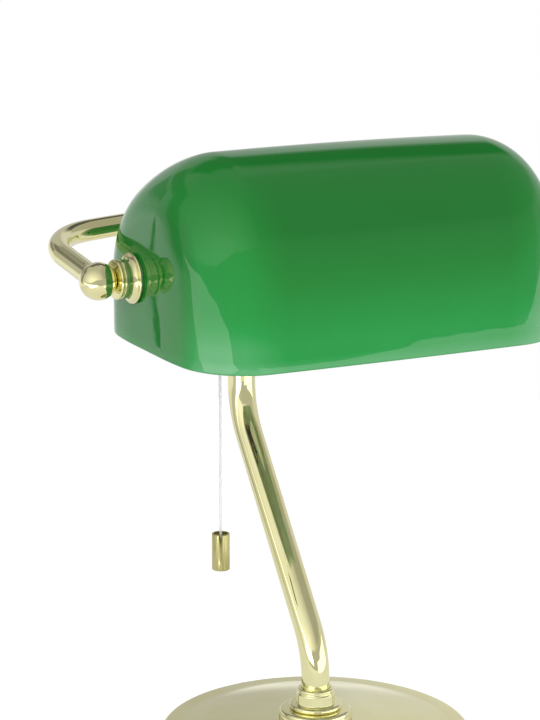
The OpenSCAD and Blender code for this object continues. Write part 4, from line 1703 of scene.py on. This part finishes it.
@dataclass
class Lampholder(HolderPieces):
    """The switched E27 lampholder on the left nipple."""

    outer: float = 19.0
    dome: float = 12.0
    shell: float = 2.0
    bore: float = 10.1
    ribs: int = 30
    rib_depth: float = 0.5
    grip: Point = (2.0, 12.0)
    sleeve: float = 28.6
    sheet: float = 0.6
    fit_gap: float = 0.05
    seat: float = 3.45
    rib_step: float = 1.5
    bush_hole: float = 9.1
    bush_bore: float = 1.25
    cord_hole: float = 6.0

    def make_cap(self) -> None:
        """Moulds the domed cap, hollow, with a turned lip where it meets the housing."""
        length = extent("holder_cap").x
        base = self.outer - self.dome
        inner = self.dome - self.shell
        outline = [(self.bore / 2, 0), (base + 1, 0)]
        outline += arc((base, self.dome), self.dome, -85, 0, 20)
        lip = self.outer - 0.6
        outline += eased([(self.outer, length - 1.6), (lip, length - 1.4), (lip, length)])
        outline += [(self.outer - self.shell, length), (self.outer - self.shell, self.dome)]
        outline += arc((base, self.dome), inner, 0, -53, 14)
        outline += [(self.bore / 2, 4)]
        self.turn("holder_dome_cap", "holder_cap", outline, PHENOLIC, 96)

    def make_housing(self) -> None:
        """Moulds the switch housing with a ribbed grip, and bores the holes for the bush and the cord."""
        length = extent("switch_housing").x
        seat, socket = length - self.seat, self.sleeve / 2 + self.fit_gap
        corners = eased(
            [
                (0, 0), (self.outer, 0, 0.5), (self.outer, length, 0.5),
                (socket, length), (socket, seat), (0, seat),
            ]
        )
        outline = []
        for here, after in zip(corners, corners[1:] + corners[:1]):
            straight = here[0] == after[0] == self.outer
            count = max(1, round(abs(after[1] - here[1]) / self.rib_step)) if straight else 1
            outline += [(here[0], here[1] + (after[1] - here[1]) * k / count) for k in range(count)]

        def ribbed_radius(reach: float, height: float, angle: float) -> float:
            """The radius, with ribs over the first third of the length."""
            ribbed = reach > self.outer - 0.01 and self.grip[0] < height < self.grip[1]
            return reach - self.rib_depth * (0.5 + 0.5 * math.cos(self.ribs * angle)) ** 2 * ribbed

        place = self.place("switch_housing")
        made = turned("holder_switch", outline, PHENOLIC, place, 240, ribbed_radius)
        axis = middle("cord_bush")
        floor = middle("left_collar").z - self.outer
        bush, cord, far = self.bush_hole / 2, self.cord_hole / 2, self.outer - 2
        bores = [(0, -2), (bush, -2), (bush, 4), (cord, 4), (cord, far), (0, far)]
        cut(made, turned("housing_drill", bores, PHENOLIC, Matrix.Translation((axis.x, axis.y, floor)), 48))
        self.fit(made, PHENOLIC, "switch_housing")

    def make_skirt(self) -> None:
        """Moulds the skirt round the screw shell: a bead and a slightly tapered sleeve with a round lip."""
        length = extent("holder_skirt").x
        bore = self.sleeve / 2 + self.fit_gap
        corners = [
            (bore, 0), (self.outer, 0, 0.4), (self.outer, 5, 0.8), (self.outer - 1.2, 6.5, 0.6),
            (self.outer - 1.8, length, 0.9), (bore + 0.9, length, 0.5), (bore, length - 1.5),
        ]
        self.turn("holder_guard", "holder_skirt", eased(corners), PHENOLIC, 96)

    def make_sleeve(self) -> None:
        """Rolls the brass screw shell's thread."""
        length = extent("holder_sleeve").x
        count = math.ceil(length / self.screw.pitch * 12)
        outer = self.sleeve / 2
        heights = [length * i / count for i in range(count + 1)]
        outline = [(outer, z) for z in heights] + [(outer - self.sheet, z) for z in reversed(heights)]

        def rolled(reach: float, height: float, angle: float) -> float:
            """The sheet's radius on the thread, which stands clear of the bulb's."""
            return reach - self.screw.wave(height, angle) * 0.3

        self.turn("screw_shell", "holder_sleeve", outline, SATIN_BRASS, 64, radius_at=rolled)

    def make_insulator(self) -> None:
        """Presses the porcelain disc with its round pocket for the contact."""
        size = extent("holder_insulator")
        outer, length = size.z / 2, size.x
        corners = [(0, 0), (outer, 0, 0.4), (outer, length, 0.5), (4.5, length, 0.3), (4.5, 2.9), (0, 2.9)]
        self.turn("porcelain_disc", "holder_insulator", eased(corners), PORCELAIN, 64)

    def make_contact(self) -> None:
        """Stamps the middle contact: a round foot with a domed tongue."""
        length = extent("centre_contact").x
        corners = [(0, 0), (4, 0, 0.2), (4, 0.8, 0.2), (2.5, 0.8, 0.2), (2.5, length, 0.8), (0, length)]
        self.turn("middle_contact", "centre_contact", eased(corners), SATIN_BRASS, 48)

    def make_bush(self) -> None:
        """Turns the brass bush that guides the cord, with a bell mouth below."""
        low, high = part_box("cord_bush")
        length, bore = (high.z - low.z) / MM, self.bush_bore
        corners = [
            (bore + 1.2, 0, 0.7), (3.6, 0, 0.9), (3.6, 1.8, 0.8), (2.6, 2.4, 0.3), (2.6, 2.8, 0.2),
            (3.4, 3.2, 0.3), (3.4, length - 3, 0.1), (4.5, length - 3, 0.2), (4.5, length, 0.2),
            (bore, length, 0.2), (bore, 2.4, 0.6),
        ]
        upright = SubAssembly.place(self, "cord_bush")
        made = turned("switch_bush", eased(corners), POLISHED_BRASS, upright, 64)
        self.fit(made, POLISHED_BRASS, "cord_bush")

    def build(self) -> None:
        """Builds the lampholder's pieces."""
        self.make_cap()
        self.make_housing()
        self.make_skirt()
        self.make_sleeve()
        self.make_insulator()
        self.make_contact()
        self.make_bush()


@dataclass
class Bulb(HolderPieces):
    """The coated glass bulb with its threaded E27 cap."""

    body: ClassVar[Body] = Body.BULB
    globe: float = 60.0
    length: float = 78.0
    glass: float = 1.0
    cap: float = 26.0

    def outline(self, inset: float) -> list[Point]:
        """Draws the glass's outline from the neck to the tip, with a neck that curves into the globe.

        Args:
            inset: How far it is moved inwards.

        Returns:
            The radius and height of each point.
        """
        radius = self.globe / 2 - inset
        middle_z = self.length - self.globe / 2
        neck = self.cap / 2 - 0.4 - inset
        globe = arc((0, middle_z), radius, -40, 90, 40)
        start, end = Vector((neck, 0)), Vector(globe[0])
        reach = end.y * 0.42
        slant = Vector((math.sin(math.radians(40)), math.cos(math.radians(40))))
        curve = []
        for i in range(24):
            t = i / 24
            handles = (start, start + Vector((0, reach)), end - slant * reach, end)
            weights = ((1 - t) ** 3, 3 * t * (1 - t) ** 2, 3 * t * t * (1 - t), t**3)
            point = sum((h * w for h, w in zip(handles, weights)), Vector((0, 0)))
            curve.append((point.x, point.y))
        return curve + [(max(x, 0.0) if i < len(globe) - 1 else 0.0, z) for i, (x, z) in enumerate(globe)]

    def make_glass(self) -> None:
        """Blows the bulb's thin glass."""
        outline = self.outline(0) + self.outline(self.glass)[::-1]
        self.turn("bulb_globe", "bulb_glass", outline, BULB_GLASS, 128)

    def make_cap(self) -> None:
        """Rolls the cap's thread, with a smooth collar by the glass and a cone towards the contact."""
        length = extent("bulb_cap").x
        outer = self.cap / 2
        count = 80
        thread = [(outer, 4.2 + (length - 8.2) * i / count) for i in range(count + 1)]
        outline = [(4.5, 0), (6.5, 0), (outer - 2.4, 3)] + thread
        outline += [(outer - 0.2, length - 3), (outer - 0.1, length), (outer - 0.6, length)]
        outline += [(outer - 0.6, 5), (4.5, 2)]

        def rolled(reach: float, height: float, angle: float) -> float:
            """The cap's radius on the thread."""
            return reach - self.screw.wave(height, angle) if reach == outer else reach

        self.turn("bulb_screw_cap", "bulb_cap", outline, ALUMINIUM, 64, radius_at=rolled)

    def make_insulator(self) -> None:
        """Casts the black glass ring round the contact."""
        length = extent("bulb_insulator").x
        corners = [(1.5, 0), (3.4, 0, 0.3), (4.4, 0.9, 0.3), (4.4, length), (1.5, length)]
        self.turn("bulb_vitrite", "bulb_insulator", eased(corners), BLACK_GLASS, 64)

    def make_contact(self) -> None:
        """Solders the contact: a low dome on a pin."""
        length = extent("bulb_contact").x
        corners = [
            (0, 0), (2.2, 0, 0.4), (3, 0.35, 0.15), (3, 0.55, 0.05),
            (1.45, 0.55), (1.45, length), (0, length),
        ]
        self.turn("bulb_solder", "bulb_contact", eased(corners), ZINC_STEEL, 48)

    def build(self) -> None:
        """Builds the bulb's pieces."""
        self.make_glass()
        self.make_cap()
        self.make_insulator()
        self.make_contact()


# ---- carried-over nodes ----


def dress(frame_nodes: dict[str, Object], finishes: dict[str, Finish]) -> None:
    """Gives the frame's own nodes their finishes.

    Args:
        frame_nodes: The frame's nodes by name.
        finishes: The finish of each node that keeps its shape.
    """
    for node, finish in finishes.items():
        carried = frame_nodes[node]
        carried.data.materials.clear()
        carried.data.materials.append(finish.material())
        LOG.info("%s keeps its shape, in %s", node, finish.name)


def main() -> None:
    """Builds the studio and the lamp."""
    logging.basicConfig(level=logging.INFO, format="%(message)s")
    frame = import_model()
    Studio().build()
    yoke = Yoke()
    pivots = [Pivot(side) for side in Side]
    for part in (Pull(), GlassShade(), *pivots, yoke, Stem(yoke.centre()), Base(), Lampholder(), Bulb()):
        part.build()
    dress(
        frame["nodes"],
        {
            "base_weight": CAST_IRON,
            "base_washer": ZINC_STEEL,
            "base_nut": ZINC_STEEL,
            "stem_nipple": SATIN_BRASS,
            "stem_plug": SATIN_BRASS,
        },
    )


if __name__ == "__main__":
    main()
